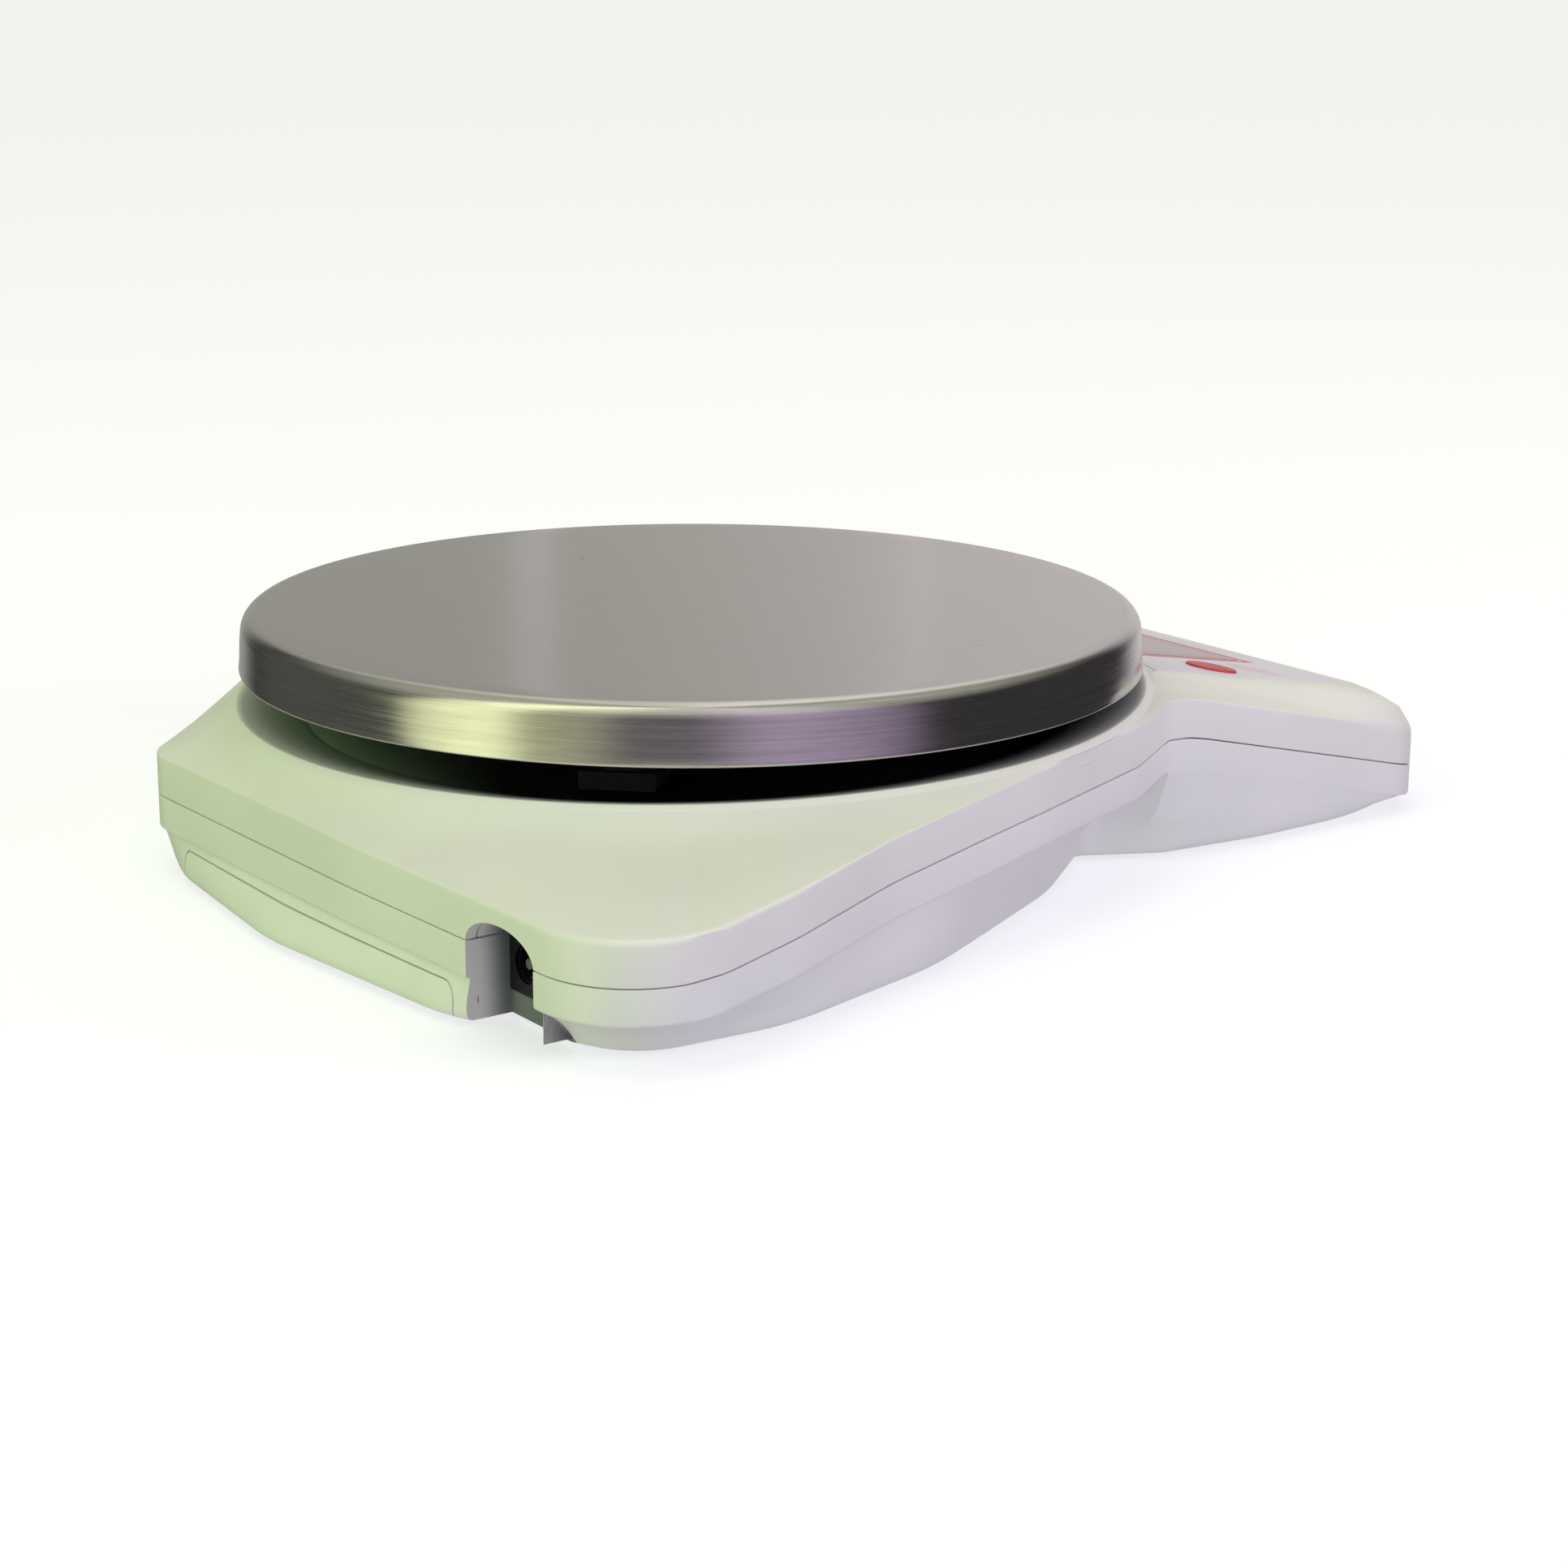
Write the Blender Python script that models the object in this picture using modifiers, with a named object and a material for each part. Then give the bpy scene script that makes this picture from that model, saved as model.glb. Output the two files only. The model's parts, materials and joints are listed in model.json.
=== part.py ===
"""Compact bench scale: a round steel platter over a plastic body, with a sloping front console.

World frame: metres, +Z up, -Y towards the person who reads the display. The origin is on the
surface that the scale stands on, below the platter's axis; the finished assembly is then moved so
that the origin is under the middle of its bounding box. Shell outlines are given as distances
from the platter's axis along rays, because every ray from the axis meets each outline once.
"""

import bmesh
import bpy
from math import atan, atan2, ceil, cos, degrees, hypot, pi, radians, sin, tau
from mathutils import Matrix, Vector

# ---- driving dimensions, in metres ----
GAP = 0.0003                # clearance kept between neighbouring pieces
WALL = 0.0022               # moulded wall thickness
PLATTER_R = 0.095           # outside radius of the platter's skirt
PLATTER_TOP = 0.0524        # height of the weighing surface
SKIRT_BOTTOM = 0.0404       # height of the platter's lower edge
SHEET = 0.0008              # thickness of the steel platter
BODY_BACK = 0.1015          # distance of the back wall behind the platter's axis
FRONT = 0.148               # distance of the console's front edge
CONSOLE_HALF = 0.0725       # half the console's width
BASE_Z = 0.0014             # underside of the lower shell, above the table
FLOOR_Z = 0.0038            # upper face of the lower shell's floor
FLANGE = 0.0071             # height of the lower shell's upright flange
COVER_SIDE = 0.0084         # height of the upper cover's upright side
RECESS_Z = 0.030            # floor of the round recess under the platter
RECESS_HOLE_R = 0.044       # hole in that floor for the weighing post
LIP_R = 0.0946              # inner radius of the raised lip around the recess
LEDGE_R = 0.0825            # inner radius of the sloping ledge inside the lip
CONSOLE_SLOPE = 0.180       # fall of the console per unit length towards the reader
PANEL_Y = -0.118            # middle of the console panel
PANEL_EDGE_X = 0.054        # half width of the flat panel
PANEL_FRONT = -0.1465        # front edge of the flat panel
SHOULDER_DROP = 0.004       # height lost between the flat panel and the console's sides
DEFLECTION = 0.0002         # travel of the weighing post at full load

MODEL_NAME = "bench_scale"
CUTTER_NAME = "cutters"


# ---- scene and materials ----
def clear_scene():
    for obj in list(bpy.data.objects):
        bpy.data.objects.remove(obj, do_unlink=True)
    for group in list(bpy.data.collections):
        bpy.data.collections.remove(group)


def new_collection(name):
    group = bpy.data.collections.new(name)
    bpy.context.scene.collection.children.link(group)
    return group


def make_material(name, color, roughness, metallic=0.0, alpha=1.0):
    mat = bpy.data.materials.new(name)
    mat.use_nodes = True
    shader = mat.node_tree.nodes["Principled BSDF"]
    shader.inputs["Base Color"].default_value = (*color, 1.0)
    shader.inputs["Roughness"].default_value = roughness
    shader.inputs["Metallic"].default_value = metallic
    shader.inputs["Alpha"].default_value = alpha
    return mat


clear_scene()
MODEL = new_collection(MODEL_NAME)
CUTTERS = new_collection(CUTTER_NAME)
IVORY = (0.80, 0.79, 0.72)
MATERIALS = {
    "cover": ("Ivory cover plastic", IVORY, 0.42, 0.0),
    "shell": ("Ivory base plastic", (0.78, 0.78, 0.73), 0.45, 0.0),
    "door": ("Battery door plastic", (0.77, 0.78, 0.73), 0.45, 0.0),
    "steel": ("Brushed stainless steel", (0.56, 0.55, 0.53), 0.28, 1.0),
    "screw": ("Zinc plated steel", (0.60, 0.60, 0.58), 0.35, 1.0),
    "carrier": ("Dark carrier plastic", (0.03, 0.03, 0.03), 0.55, 0.0),
    "rubber": ("Dark rubber", (0.02, 0.02, 0.02), 0.85, 0.0),
    "cell": ("Milled aluminium", (0.72, 0.73, 0.74), 0.38, 1.0),
    "jack": ("Black socket plastic", (0.012, 0.012, 0.013), 0.35, 0.0),
    "board": ("Green circuit board", (0.02, 0.16, 0.06), 0.4, 0.0),
    "glass": ("Display glass", (0.42, 0.40, 0.38), 0.12, 0.0),
    "lens": ("Smoked window", (0.50, 0.45, 0.44), 0.08, 0.0),
    "label": ("White overlay film", (0.80, 0.79, 0.84), 0.4, 0.0),
    "key": ("Red key rubber", (0.55, 0.05, 0.06), 0.45, 0.0),
    "switch": ("Black switch plastic", (0.03, 0.03, 0.03), 0.5, 0.0),
    "battery": ("Battery jacket", (0.10, 0.10, 0.11), 0.35, 0.2),
    "contact": ("Nickel contact", (0.65, 0.64, 0.60), 0.3, 1.0),
    "wire": ("Grey cable sheath", (0.25, 0.25, 0.26), 0.6, 0.0),
}


def material_for(kind, node):
    label, color, roughness, metallic = MATERIALS[kind]
    return make_material(f"{label} ({node})", color, roughness, metallic)


# ---- small modelling helpers ----
def link(obj, group=MODEL, parent=None):
    group.objects.link(obj)
    if parent is not None:
        obj.parent = parent
    return obj


def node_from(bm, name, kind, parent=None, smooth=True):
    bmesh.ops.recalc_face_normals(bm, faces=bm.faces)
    mesh = bpy.data.meshes.new(name)
    bm.to_mesh(mesh)
    bm.free()
    obj = link(bpy.data.objects.new(name, mesh), parent=parent)
    mesh.materials.append(material_for(kind, name))
    if smooth:
        mesh.shade_smooth()
        mesh.set_sharp_from_angle(angle=radians(32))
    return obj


def empty(name, location, rotation=(0.0, 0.0, 0.0), parent=None):
    obj = link(bpy.data.objects.new(name, None), parent=parent)
    obj.location = location
    obj.rotation_euler = rotation
    return obj


def cube_bm(low, high):
    bm = bmesh.new()
    bmesh.ops.create_cube(bm, size=1.0)
    size = Vector(high) - Vector(low)
    middle = (Vector(high) + Vector(low)) / 2
    bmesh.ops.transform(bm, verts=bm.verts, matrix=Matrix.Translation(middle) @ Matrix.Diagonal((*size, 1.0)))
    return bm


def drum_bm(radius, low_z, high_z, centre=(0.0, 0.0), steps=24, top_radius=None):
    bm = bmesh.new()
    middle = Matrix.Translation((centre[0], centre[1], (low_z + high_z) / 2))
    bmesh.ops.create_cone(
        bm, cap_ends=True, segments=steps, radius1=radius,
        radius2=radius if top_radius is None else top_radius, depth=high_z - low_z, matrix=middle,
    )
    return bm


def oval_bm(half_x, half_y, low_z, high_z, centre=(0.0, 0.0), steps=28):
    bm = drum_bm(1.0, low_z, high_z, steps=steps)
    scale = Matrix.Translation((centre[0], centre[1], 0.0)) @ Matrix.Diagonal((half_x, half_y, 1.0, 1.0))
    bmesh.ops.transform(bm, verts=bm.verts, matrix=scale)
    return bm


def box(name, kind, low, high, parent=None, bevel=0.0):
    obj = node_from(cube_bm(low, high), name, kind, parent, smooth=False)
    if bevel:
        add_bevel(obj, bevel)
    return obj


def add_bevel(obj, width, segments=2, angle=40):
    edge = obj.modifiers.new("edge_round", "BEVEL")
    edge.width = width
    edge.segments = segments
    edge.limit_method = "ANGLE"
    edge.angle_limit = radians(angle)


def cutter(name, bm, parent=None):
    bmesh.ops.recalc_face_normals(bm, faces=bm.faces)
    mesh = bpy.data.meshes.new(name)
    bm.to_mesh(mesh)
    bm.free()
    obj = link(bpy.data.objects.new(name, mesh), CUTTERS, parent)
    obj.hide_render = True
    obj.display_type = "WIRE"
    return obj


def boolean(target, tool, operation="DIFFERENCE"):
    step = target.modifiers.new(f"{operation.lower()}_{tool.name}", "BOOLEAN")
    step.operation = operation
    step.object = tool


def cut(target, *tools):
    for tool in tools:
        boolean(target, tool)


def turned(name, kind, profile, steps, parent=None):
    """A solid of revolution about its own Z. The profile starts at the top and runs down the outside."""
    mesh = bpy.data.meshes.new(name)
    count = len(profile)
    on_axis = profile[0][0] == 0.0
    edges = [(i, i + 1) for i in range(count - 1)]
    if not on_axis:
        edges.append((count - 1, 0))
    mesh.from_pydata([(r, 0.0, z) for r, z in profile], edges, [])
    mesh.materials.append(material_for(kind, name))
    obj = link(bpy.data.objects.new(name, mesh), parent=parent)
    turn = obj.modifiers.new("turn", "SCREW")
    turn.steps = steps
    turn.render_steps = steps
    turn.use_merge_vertices = True
    turn.merge_threshold = 0.00001
    turn.use_smooth_shade = True
    return obj


def ring_sweep(rings, closed_loop):
    """Skin a list of rings with equal point counts; capped at both ends unless it closes on itself."""
    bm = bmesh.new()
    rows = [[bm.verts.new(point) for point in ring] for ring in rings]
    count = len(rows[0])
    pairs = list(zip(rows, rows[1:] + rows[:1])) if closed_loop else list(zip(rows, rows[1:]))
    for lower, upper in pairs:
        for i in range(count):
            j = (i + 1) % count
            bm.faces.new((lower[i], lower[j], upper[j], upper[i]))
    if not closed_loop:
        bm.faces.new(rows[0])
        bm.faces.new(reversed(rows[-1]))
    return bm


# ---- outlines of the body ----
def rounded(corners, arc_steps=6):
    """A closed outline through (x, y, radius) corners, each rounded by an arc."""
    points = []
    for index, (x, y, radius) in enumerate(corners):
        here = Vector((x, y))
        before = (Vector(corners[index - 1][:2]) - here).normalized()
        after = (Vector(corners[(index + 1) % len(corners)][:2]) - here).normalized()
        if radius == 0.0:
            points.append(here)
            continue
        half = before.angle(after) / 2
        bisector = (before + after).normalized()
        centre = here + bisector * (radius / sin(half))
        start = here + before * (radius * cos(half) / sin(half)) - centre
        end = here + after * (radius * cos(half) / sin(half)) - centre
        turn = atan2(start.cross(end), start.dot(end))
        for k in range(arc_steps + 1):
            angle = turn * k / arc_steps
            spin = Matrix.Rotation(angle, 2)
            points.append(centre + spin @ start)
    return points


def crossing(outline, angle):
    """Distance from the axis to the outline along a ray, and how obliquely the ray leaves it.

    The angle is measured from -Y towards -X. The second value is the length along the ray that
    spans a unit of thickness measured square to the outline.
    """
    ray = Vector((-sin(angle), -cos(angle)))
    best = (0.0, 1.0)
    for a, b in zip(outline, outline[1:] + outline[:1]):
        edge = b - a
        across = ray.cross(edge)
        if abs(across) < 1e-12:
            continue
        along = a.cross(edge) / across
        share = a.cross(ray) / across
        if along > best[0] and -1e-9 <= share <= 1 + 1e-9:
            best = (along, edge.length / abs(across))
    return best


def reach(outline, angle):
    return crossing(outline, angle)[0]


def stretch(outline, angle):
    sides = (crossing(outline, angle - 0.006)[1], crossing(outline, angle + 0.006)[1])
    return min(2.2, sum(sides) / 2)


MM = 0.001


def outline_mm(*corners):
    return rounded([(x * MM, y * MM, radius * MM) for x, y, radius in corners])


# Seen from above: the left side of the scale is at -X, and the clipped rear corner is at +X.
BODY_OUTLINE = outline_mm(
    (-72.5, -152, 16), (-73.5, -80, 0), (-72.5, -70.5, 3), (-84, -52, 20), (-97.5, -14, 90), (-108, 30, 90),
    (-118, 58, 40), (-123.6, 80, 22), (-120.2, 101.5, 20), (-40, 104, 300), (45.5, 104, 14), (102.6, 46.9, 30),
    (102.6, -24, 60), (84, -52, 20), (72.5, -70.5, 3), (73.5, -80, 0), (72.5, -152, 16), (0, -154.5, 200),
)
BASE_OUTLINE = outline_mm(
    (-70, -151, 16), (-73, -100, 60), (-70.5, -74, 6), (-61, -56.5, 5), (-79, -33, 60), (-104, 16, 80),
    (-114.5, 57, 50), (-112.2, 88.5, 14), (-74, 105.5, 40), (-16, 111, 60), (32, 105, 40),
    (48, 99, 14), (98, 48, 30), (97, -12, 60), (61, -56.5, 5), (70.5, -74, 6), (73, -100, 60),
    (70, -151, 16), (0, -153, 200),
)
PANEL_OUTLINE = outline_mm((-54, -146.5, 8), (-54, -60, 0), (54, -60, 0), (54, -146.5, 8))


def ray_angles():
    """Directions shared by every ring of both shells: an even fan, with more rays at tight corners."""
    fan = {round(step * 7.5, 3) for step in range(48)}
    for point in BODY_OUTLINE:
        fan.add(round(degrees(atan2(-point.x, -point.y)) % 360, 3))
    kept = []
    for angle in sorted(fan):
        if not kept or angle - kept[-1] > 2.0:
            kept.append(angle)
    return [radians(angle) for angle in kept]


ANGLES = ray_angles()


def on_ray(angle, radius, height):
    return Vector((-sin(angle) * radius, -cos(angle) * radius, height))


def interpolate(knots, value):
    for (x0, z0), (x1, z1) in zip(knots, knots[1:]):
        if value <= x1:
            share = (value - x0) / (x1 - x0)
            return z0 + (z1 - z0) * max(0.0, share)
    return knots[-1][1]


CREASE_KNOTS = [(-0.160, 0.0151), (-0.076, 0.0355), (-0.011, 0.0338), (0.085, 0.0250), (0.120, 0.0250)]


def crease_z(y):
    """Height of the edge between the upper cover's top and its upright side."""
    return interpolate(CREASE_KNOTS, y)


def parting_z(y):
    return crease_z(y) - COVER_SIDE


def lip_z(y):
    """The raised lip is tilted a little, and stands highest at the console."""
    return 0.03525 - 0.0237 * y


def panel_z(y):
    return 0.0357 + CONSOLE_SLOPE * (y + 0.087)


def console_top(x, y):
    """The flat panel, with a shoulder that slopes down from it to the console's sides."""
    share = (abs(x) - PANEL_EDGE_X) / (CONSOLE_HALF - PANEL_EDGE_X)
    return panel_z(y) - SHOULDER_DROP * min(1.0, max(0.0, share))


def on_console(side, angle):
    return cos(angle) * side > 0.0700 and abs(sin(angle)) * side < 0.0745


# ---- upper cover ----
def cover_section(angle):
    """Closed section of the upper cover in the plane of one ray, outside first."""
    side = reach(BODY_OUTLINE, angle)
    wall = WALL * stretch(BODY_OUTLINE, angle)
    crease = crease_z(-cos(angle) * side)
    lip = lip_z(-cos(angle) * LIP_R)
    foot = LIP_R + 0.0026
    bottom = crease - COVER_SIDE + GAP / 2
    inner_corner = (side - wall, crease - WALL)
    floor_corner = (LIP_R - 0.002, RECESS_Z - WALL)
    if on_console(side, angle):
        edge = min(max(reach(PANEL_OUTLINE, angle), foot + 0.0006), side - 0.002)
        shoulder = (edge, console_top(-sin(angle) * edge, -cos(angle) * edge))
        foot_z = min(console_top(-sin(angle) * foot, -cos(angle) * foot), lip - 0.0008)
        under_out = (max(edge - 0.001, foot), shoulder[1] - WALL - 0.0002)
        under_in = (foot - 0.001, foot_z - WALL - 0.0008)
        nose = min(1.0, max(0.0, (cos(angle) * side - 0.120) / 0.030))
        bulge = (0.5 + 0.3 * nose) * (shoulder[1] - crease)
    else:
        shoulder = (foot + 0.5 * (side - foot), crease + 0.42 * (lip - crease))
        bulge = 0.5 * (shoulder[1] - crease)
        foot_z = lip - 0.0012
        under_out = tuple(a + (b - a) / 3 for a, b in zip(inner_corner, floor_corner))
        under_in = tuple(a + (b - a) / 1.5 for a, b in zip(inner_corner, floor_corner))
    return [
        (side, bottom),
        (side, crease),
        (side + 0.45 * (shoulder[0] - side), crease + bulge),
        shoulder,
        (foot, foot_z),
        (LIP_R + 0.0013, lip),
        (LIP_R, lip - 0.0004),
        (LEDGE_R, max(lip - 0.0030, RECESS_Z + 0.0004)),
        (LEDGE_R - 0.0012, RECESS_Z),
        (RECESS_HOLE_R, RECESS_Z),
        (RECESS_HOLE_R, RECESS_Z - WALL),
        floor_corner,
        under_in,
        under_out,
        inner_corner,
        (side - wall, bottom),
    ]


def sweep_sections(section, closed_loop):
    sections = [section(angle) for angle in ANGLES]
    rings = []
    for index in range(len(sections[0])):
        rings.append([on_ray(angle, *part[index]) for angle, part in zip(ANGLES, sections)])
    bm = ring_sweep(rings, closed_loop)
    bmesh.ops.triangulate(bm, faces=bm.faces)
    return bm


# ---- lower shell ----
RIM_LAND = 0.0025           # width of the rim that meets the upper cover
TONGUE = 0.0012             # thickness of the locating tongue inside that rim


def shell_section(angle):
    """Open section of the lower shell along one ray: up the outside, over the rim, down to the floor."""
    side = reach(BODY_OUTLINE, angle)
    along_side = stretch(BODY_OUTLINE, angle)
    base = reach(BASE_OUTLINE, angle)
    base_wall = WALL * stretch(BASE_OUTLINE, angle)
    parting = parting_z(-cos(angle) * side)
    flange = max(parting - FLANGE, BASE_Z + 0.0022)
    hull_top = side - 0.0009 * along_side
    if not on_console(side, angle):
        hull_top = min(hull_top, 0.35 * side + 0.65 * base + 0.003)
    belly_z = BASE_Z + 0.45 * (flange - BASE_Z)
    belly = hull_top + 0.72 * (base - hull_top)
    top = parting - GAP / 2
    tongue_out = side - RIM_LAND * along_side
    tongue_in = tongue_out - TONGUE * along_side
    return [
        (base - 0.0015, BASE_Z),
        (base, BASE_Z + 0.0012),
        (belly, belly_z),
        (hull_top, flange - 0.0004),
        (side, flange),
        (side, top),
        (tongue_out, top),
        (tongue_out, parting + 0.0013),
        (tongue_in, parting + 0.0013),
        (min(tongue_in, hull_top - base_wall), max(flange, FLOOR_Z + 0.0016)),
        (belly - base_wall, max(belly_z, FLOOR_Z + 0.001)),
        (base - base_wall - 0.0008, FLOOR_Z),
    ]


# ---- root, moved so that the assembly's bounding box is centred over the origin ----
def plan_extent(index):
    values = []
    for outline in (BODY_OUTLINE, BASE_OUTLINE):
        values += [on_ray(angle, reach(outline, angle), 0.0)[index] for angle in ANGLES]
    return (min(values) + max(values)) / 2


ROOT = empty("root", (-plan_extent(0), -plan_extent(1), 0.0))
PANEL_TILT = atan(CONSOLE_SLOPE)
PANEL = empty("panel_frame", (0.0, PANEL_Y, panel_z(PANEL_Y)), (PANEL_TILT, 0.0, 0.0), ROOT)

upper_cover = node_from(sweep_sections(cover_section, True), "upper_cover", "cover", ROOT)
shell_bm = sweep_sections(shell_section, False)
door_bm = shell_bm.copy()
lower_shell = node_from(shell_bm, "lower_shell", "shell", ROOT)
battery_door = node_from(door_bm, "battery_door", "door", ROOT)

# ---- battery door: the part of the shell's rear wall and floor that slides out backwards ----
DOOR_X = (-0.076, 0.031)
DOOR_Y = 0.064
DOOR_TOP = 0.0077
door_space = cutter("door_space", cube_bm((DOOR_X[0], DOOR_Y, -0.002), (DOOR_X[1], 0.13, DOOR_TOP)), ROOT)
door_low = (DOOR_X[0] + GAP, DOOR_Y + GAP, -0.003)
door_high = (DOOR_X[1] - GAP, 0.14, DOOR_TOP - GAP)
door_limit = cutter("door_limit", cube_bm(door_low, door_high), ROOT)
boolean(battery_door, door_limit, "INTERSECT")

# ---- socket niche in the rear wall ----
NICHE_X = (-0.1007, -0.0790)
NICHE_Y = 0.0933
NICHE_TOP = 0.0219
NICHE_MIDDLE = (NICHE_X[0] + NICHE_X[1]) / 2
JACK_X = -0.0845
JACK_Z = 0.0118
wall_low = (NICHE_X[0] - 0.0021, NICHE_Y - WALL)
wall_high = (NICHE_X[1] + 0.0017, BODY_BACK - 0.0013)
shell_back = parting_z(BODY_BACK)
wall_turn = shell_back - FLANGE + 0.0004
niche_lower = cutter("niche_lower", cube_bm((*wall_low, wall_turn), (*wall_high, shell_back - GAP / 2)), ROOT)
niche_foot = cutter(
    "niche_foot", cube_bm((NICHE_X[0], wall_low[1], FLOOR_Z - 0.001), (*wall_high, wall_turn + 0.0005)), ROOT)
niche_cheek = cutter(
    "niche_cheek",
    cube_bm((*wall_low, FLOOR_Z - 0.001), (NICHE_X[0] + 0.001, NICHE_Y + 0.0020, wall_turn + 0.0005)), ROOT)
niche_upper = cutter("niche_upper", cube_bm((*wall_low, shell_back + GAP / 2), (*wall_high, 0.0249)), ROOT)
for wall in (niche_lower, niche_foot, niche_cheek):
    boolean(lower_shell, wall, "UNION")
boolean(upper_cover, niche_upper, "UNION")

tongue_low = (wall_low[0] - GAP, 0.0900, shell_back - GAP / 2 - 0.00005)
tongue_high = (wall_high[0] + GAP, 0.1012, shell_back + 0.003)
tongue_gap = cutter("tongue_gap", cube_bm(tongue_low, tongue_high), ROOT)

niche_bm = oval_bm((NICHE_X[1] - NICHE_X[0]) / 2, NICHE_TOP - shell_back, -0.03, 0.0, steps=24)
turn_back = Matrix.Translation((NICHE_MIDDLE, NICHE_Y, shell_back)) @ Matrix.Rotation(pi / 2, 4, "X")
bmesh.ops.transform(niche_bm, verts=niche_bm.verts, matrix=turn_back)
niche_arch = cutter("niche_arch", niche_bm, ROOT)
niche_space = cutter(
    "niche_space", cube_bm((NICHE_X[0], NICHE_Y, -0.002), (NICHE_X[1], 0.13, shell_back)), ROOT)
JACK_LOW = (JACK_X - 0.0045, 0.0800, 0.0072)
JACK_HIGH = (JACK_X + 0.0045, NICHE_Y - 0.0002, 0.0158)
grow = Vector((GAP, 0.01, GAP))
jack_window = cutter("jack_window", cube_bm(Vector(JACK_LOW) - grow, Vector(JACK_HIGH) + grow), ROOT)
cut(lower_shell, door_space, tongue_gap, niche_arch, niche_space, jack_window)
cut(upper_cover, niche_arch)

dc_jack = box("dc_jack", "jack", JACK_LOW, JACK_HIGH, ROOT)
bore = ring_sweep(
    [
        [Vector((r * cos(a), r * sin(a), z)) for a in (tau * k / 20 for k in range(20))]
        for r, z in ((0.00315, 0.002), (0.00315, -0.009), (0.00100, -0.009), (0.00100, 0.002))
    ],
    True,
)
face_back = Matrix.Translation((JACK_X, NICHE_Y, JACK_Z)) @ Matrix.Rotation(-pi / 2, 4, "X")
bmesh.ops.transform(bore, verts=bore.verts, matrix=face_back)
cut(dc_jack, cutter("socket_bore", bore, ROOT))

# ---- case screws, with their posts under the cover ----
CASE_SCREWS = [(-0.058, -0.040), (0.058, -0.040), (-0.072, 0.046), (0.062, 0.050)]
CELL_SCREWS = [(0.0, 0.028), (0.0, 0.036)]
HEAD_TOP = BASE_Z + 0.0013


def screw(name, centre, head_z, tip_z, parent, head_r=0.0030, shank_r=0.0014):
    """A pan-head screw; the head is at the low end when tip_z is above head_z."""
    up = 1.0 if tip_z > head_z else -1.0
    low_head = (head_z, head_z + up * 0.0012)
    bm = drum_bm(head_r, min(low_head), max(low_head), centre, 16)
    shank = drum_bm(shank_r, min(low_head[1], tip_z), max(low_head[1], tip_z), centre, 12)
    obj = node_from(bm, name, "screw", parent)
    overlap = Matrix.Translation((0.0, 0.0, -up * 0.0004))
    bmesh.ops.transform(shank, verts=shank.verts, matrix=overlap)
    boolean(obj, cutter(f"{name}_shank", shank, parent), "UNION")
    slot = cube_bm((-0.0024, -0.0004, -0.0004), (0.0024, 0.0004, 0.0004))
    bmesh.ops.transform(slot, verts=slot.verts, matrix=Matrix.Translation((*centre, head_z)))
    cut(obj, cutter(f"{name}_slot", slot, parent))
    return obj


for number, centre in enumerate(CASE_SCREWS, 1):
    post = cutter(f"post_{number}", drum_bm(0.0036, FLOOR_Z + GAP, RECESS_Z - 0.001, centre, 16), ROOT)
    boolean(upper_cover, post, "UNION")
    pilot = cutter(f"pilot_{number}", drum_bm(0.0017, 0.0, 0.016, centre, 12), ROOT)
    counterbore = cutter(f"counterbore_{number}", drum_bm(0.0034, 0.0, HEAD_TOP + GAP, centre, 16), ROOT)
    cut(upper_cover, pilot)
    cut(lower_shell, pilot, counterbore)
    screw(f"case_screw_{number}", centre, BASE_Z + 0.0001, 0.0145, ROOT)

# ---- rubber feet in shallow pockets ----
FEET = [(-0.056, -0.126), (0.056, -0.126), (-0.096, 0.070), (0.072, 0.056)]
for number, centre in enumerate(FEET, 1):
    pocket = cutter(f"foot_pocket_{number}", drum_bm(0.0063, 0.0, BASE_Z + 0.0010, centre, 20), ROOT)
    cut(lower_shell, pocket)
    foot = node_from(drum_bm(0.0060, 0.0, BASE_Z + 0.0007, centre, 20), f"foot_{number}", "rubber", ROOT)
    add_bevel(foot, 0.0003, 1)

# ---- load cell: a bending beam, fixed at its rear end ----
CELL_HALF = 0.00635
CELL_Z = (0.0090, 0.0217)
CELL_LENGTH = 0.080
load_cell = box(
    "load_cell", "cell", (-CELL_HALF, -CELL_LENGTH / 2, CELL_Z[0]), (CELL_HALF, CELL_LENGTH / 2, CELL_Z[1]), ROOT)
for number, y in enumerate((-0.0055, 0.0055), 1):
    eye = drum_bm(0.0045, -0.01, 0.01, steps=20)
    across = Matrix.Translation((0.0, y, sum(CELL_Z) / 2)) @ Matrix.Rotation(pi / 2, 4, "Y")
    bmesh.ops.transform(eye, verts=eye.verts, matrix=across)
    cut(load_cell, cutter(f"beam_eye_{number}", eye, ROOT))
bridge_low = (-0.01, -0.0055, sum(CELL_Z) / 2 - 0.0015)
bridge_high = (0.01, 0.0055, sum(CELL_Z) / 2 + 0.0015)
cut(load_cell, cutter("beam_slot", cube_bm(bridge_low, bridge_high), ROOT))
cell_spacer = box(
    "cell_spacer", "screw", (-CELL_HALF, 0.024, FLOOR_Z + GAP), (CELL_HALF, 0.040, CELL_Z[0] - GAP), ROOT)
for number, centre in enumerate(CELL_SCREWS, 1):
    pilot = cutter(f"cell_pilot_{number}", drum_bm(0.0017, 0.0, 0.0165, centre, 12), ROOT)
    counterbore = cutter(f"cell_counterbore_{number}", drum_bm(0.0034, 0.0, HEAD_TOP + GAP, centre, 16), ROOT)
    cut(lower_shell, pilot, counterbore)
    cut(cell_spacer, pilot)
    cut(load_cell, pilot)
    screw(f"cell_screw_{number}", centre, BASE_Z + 0.0001, 0.0155, ROOT)
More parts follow.
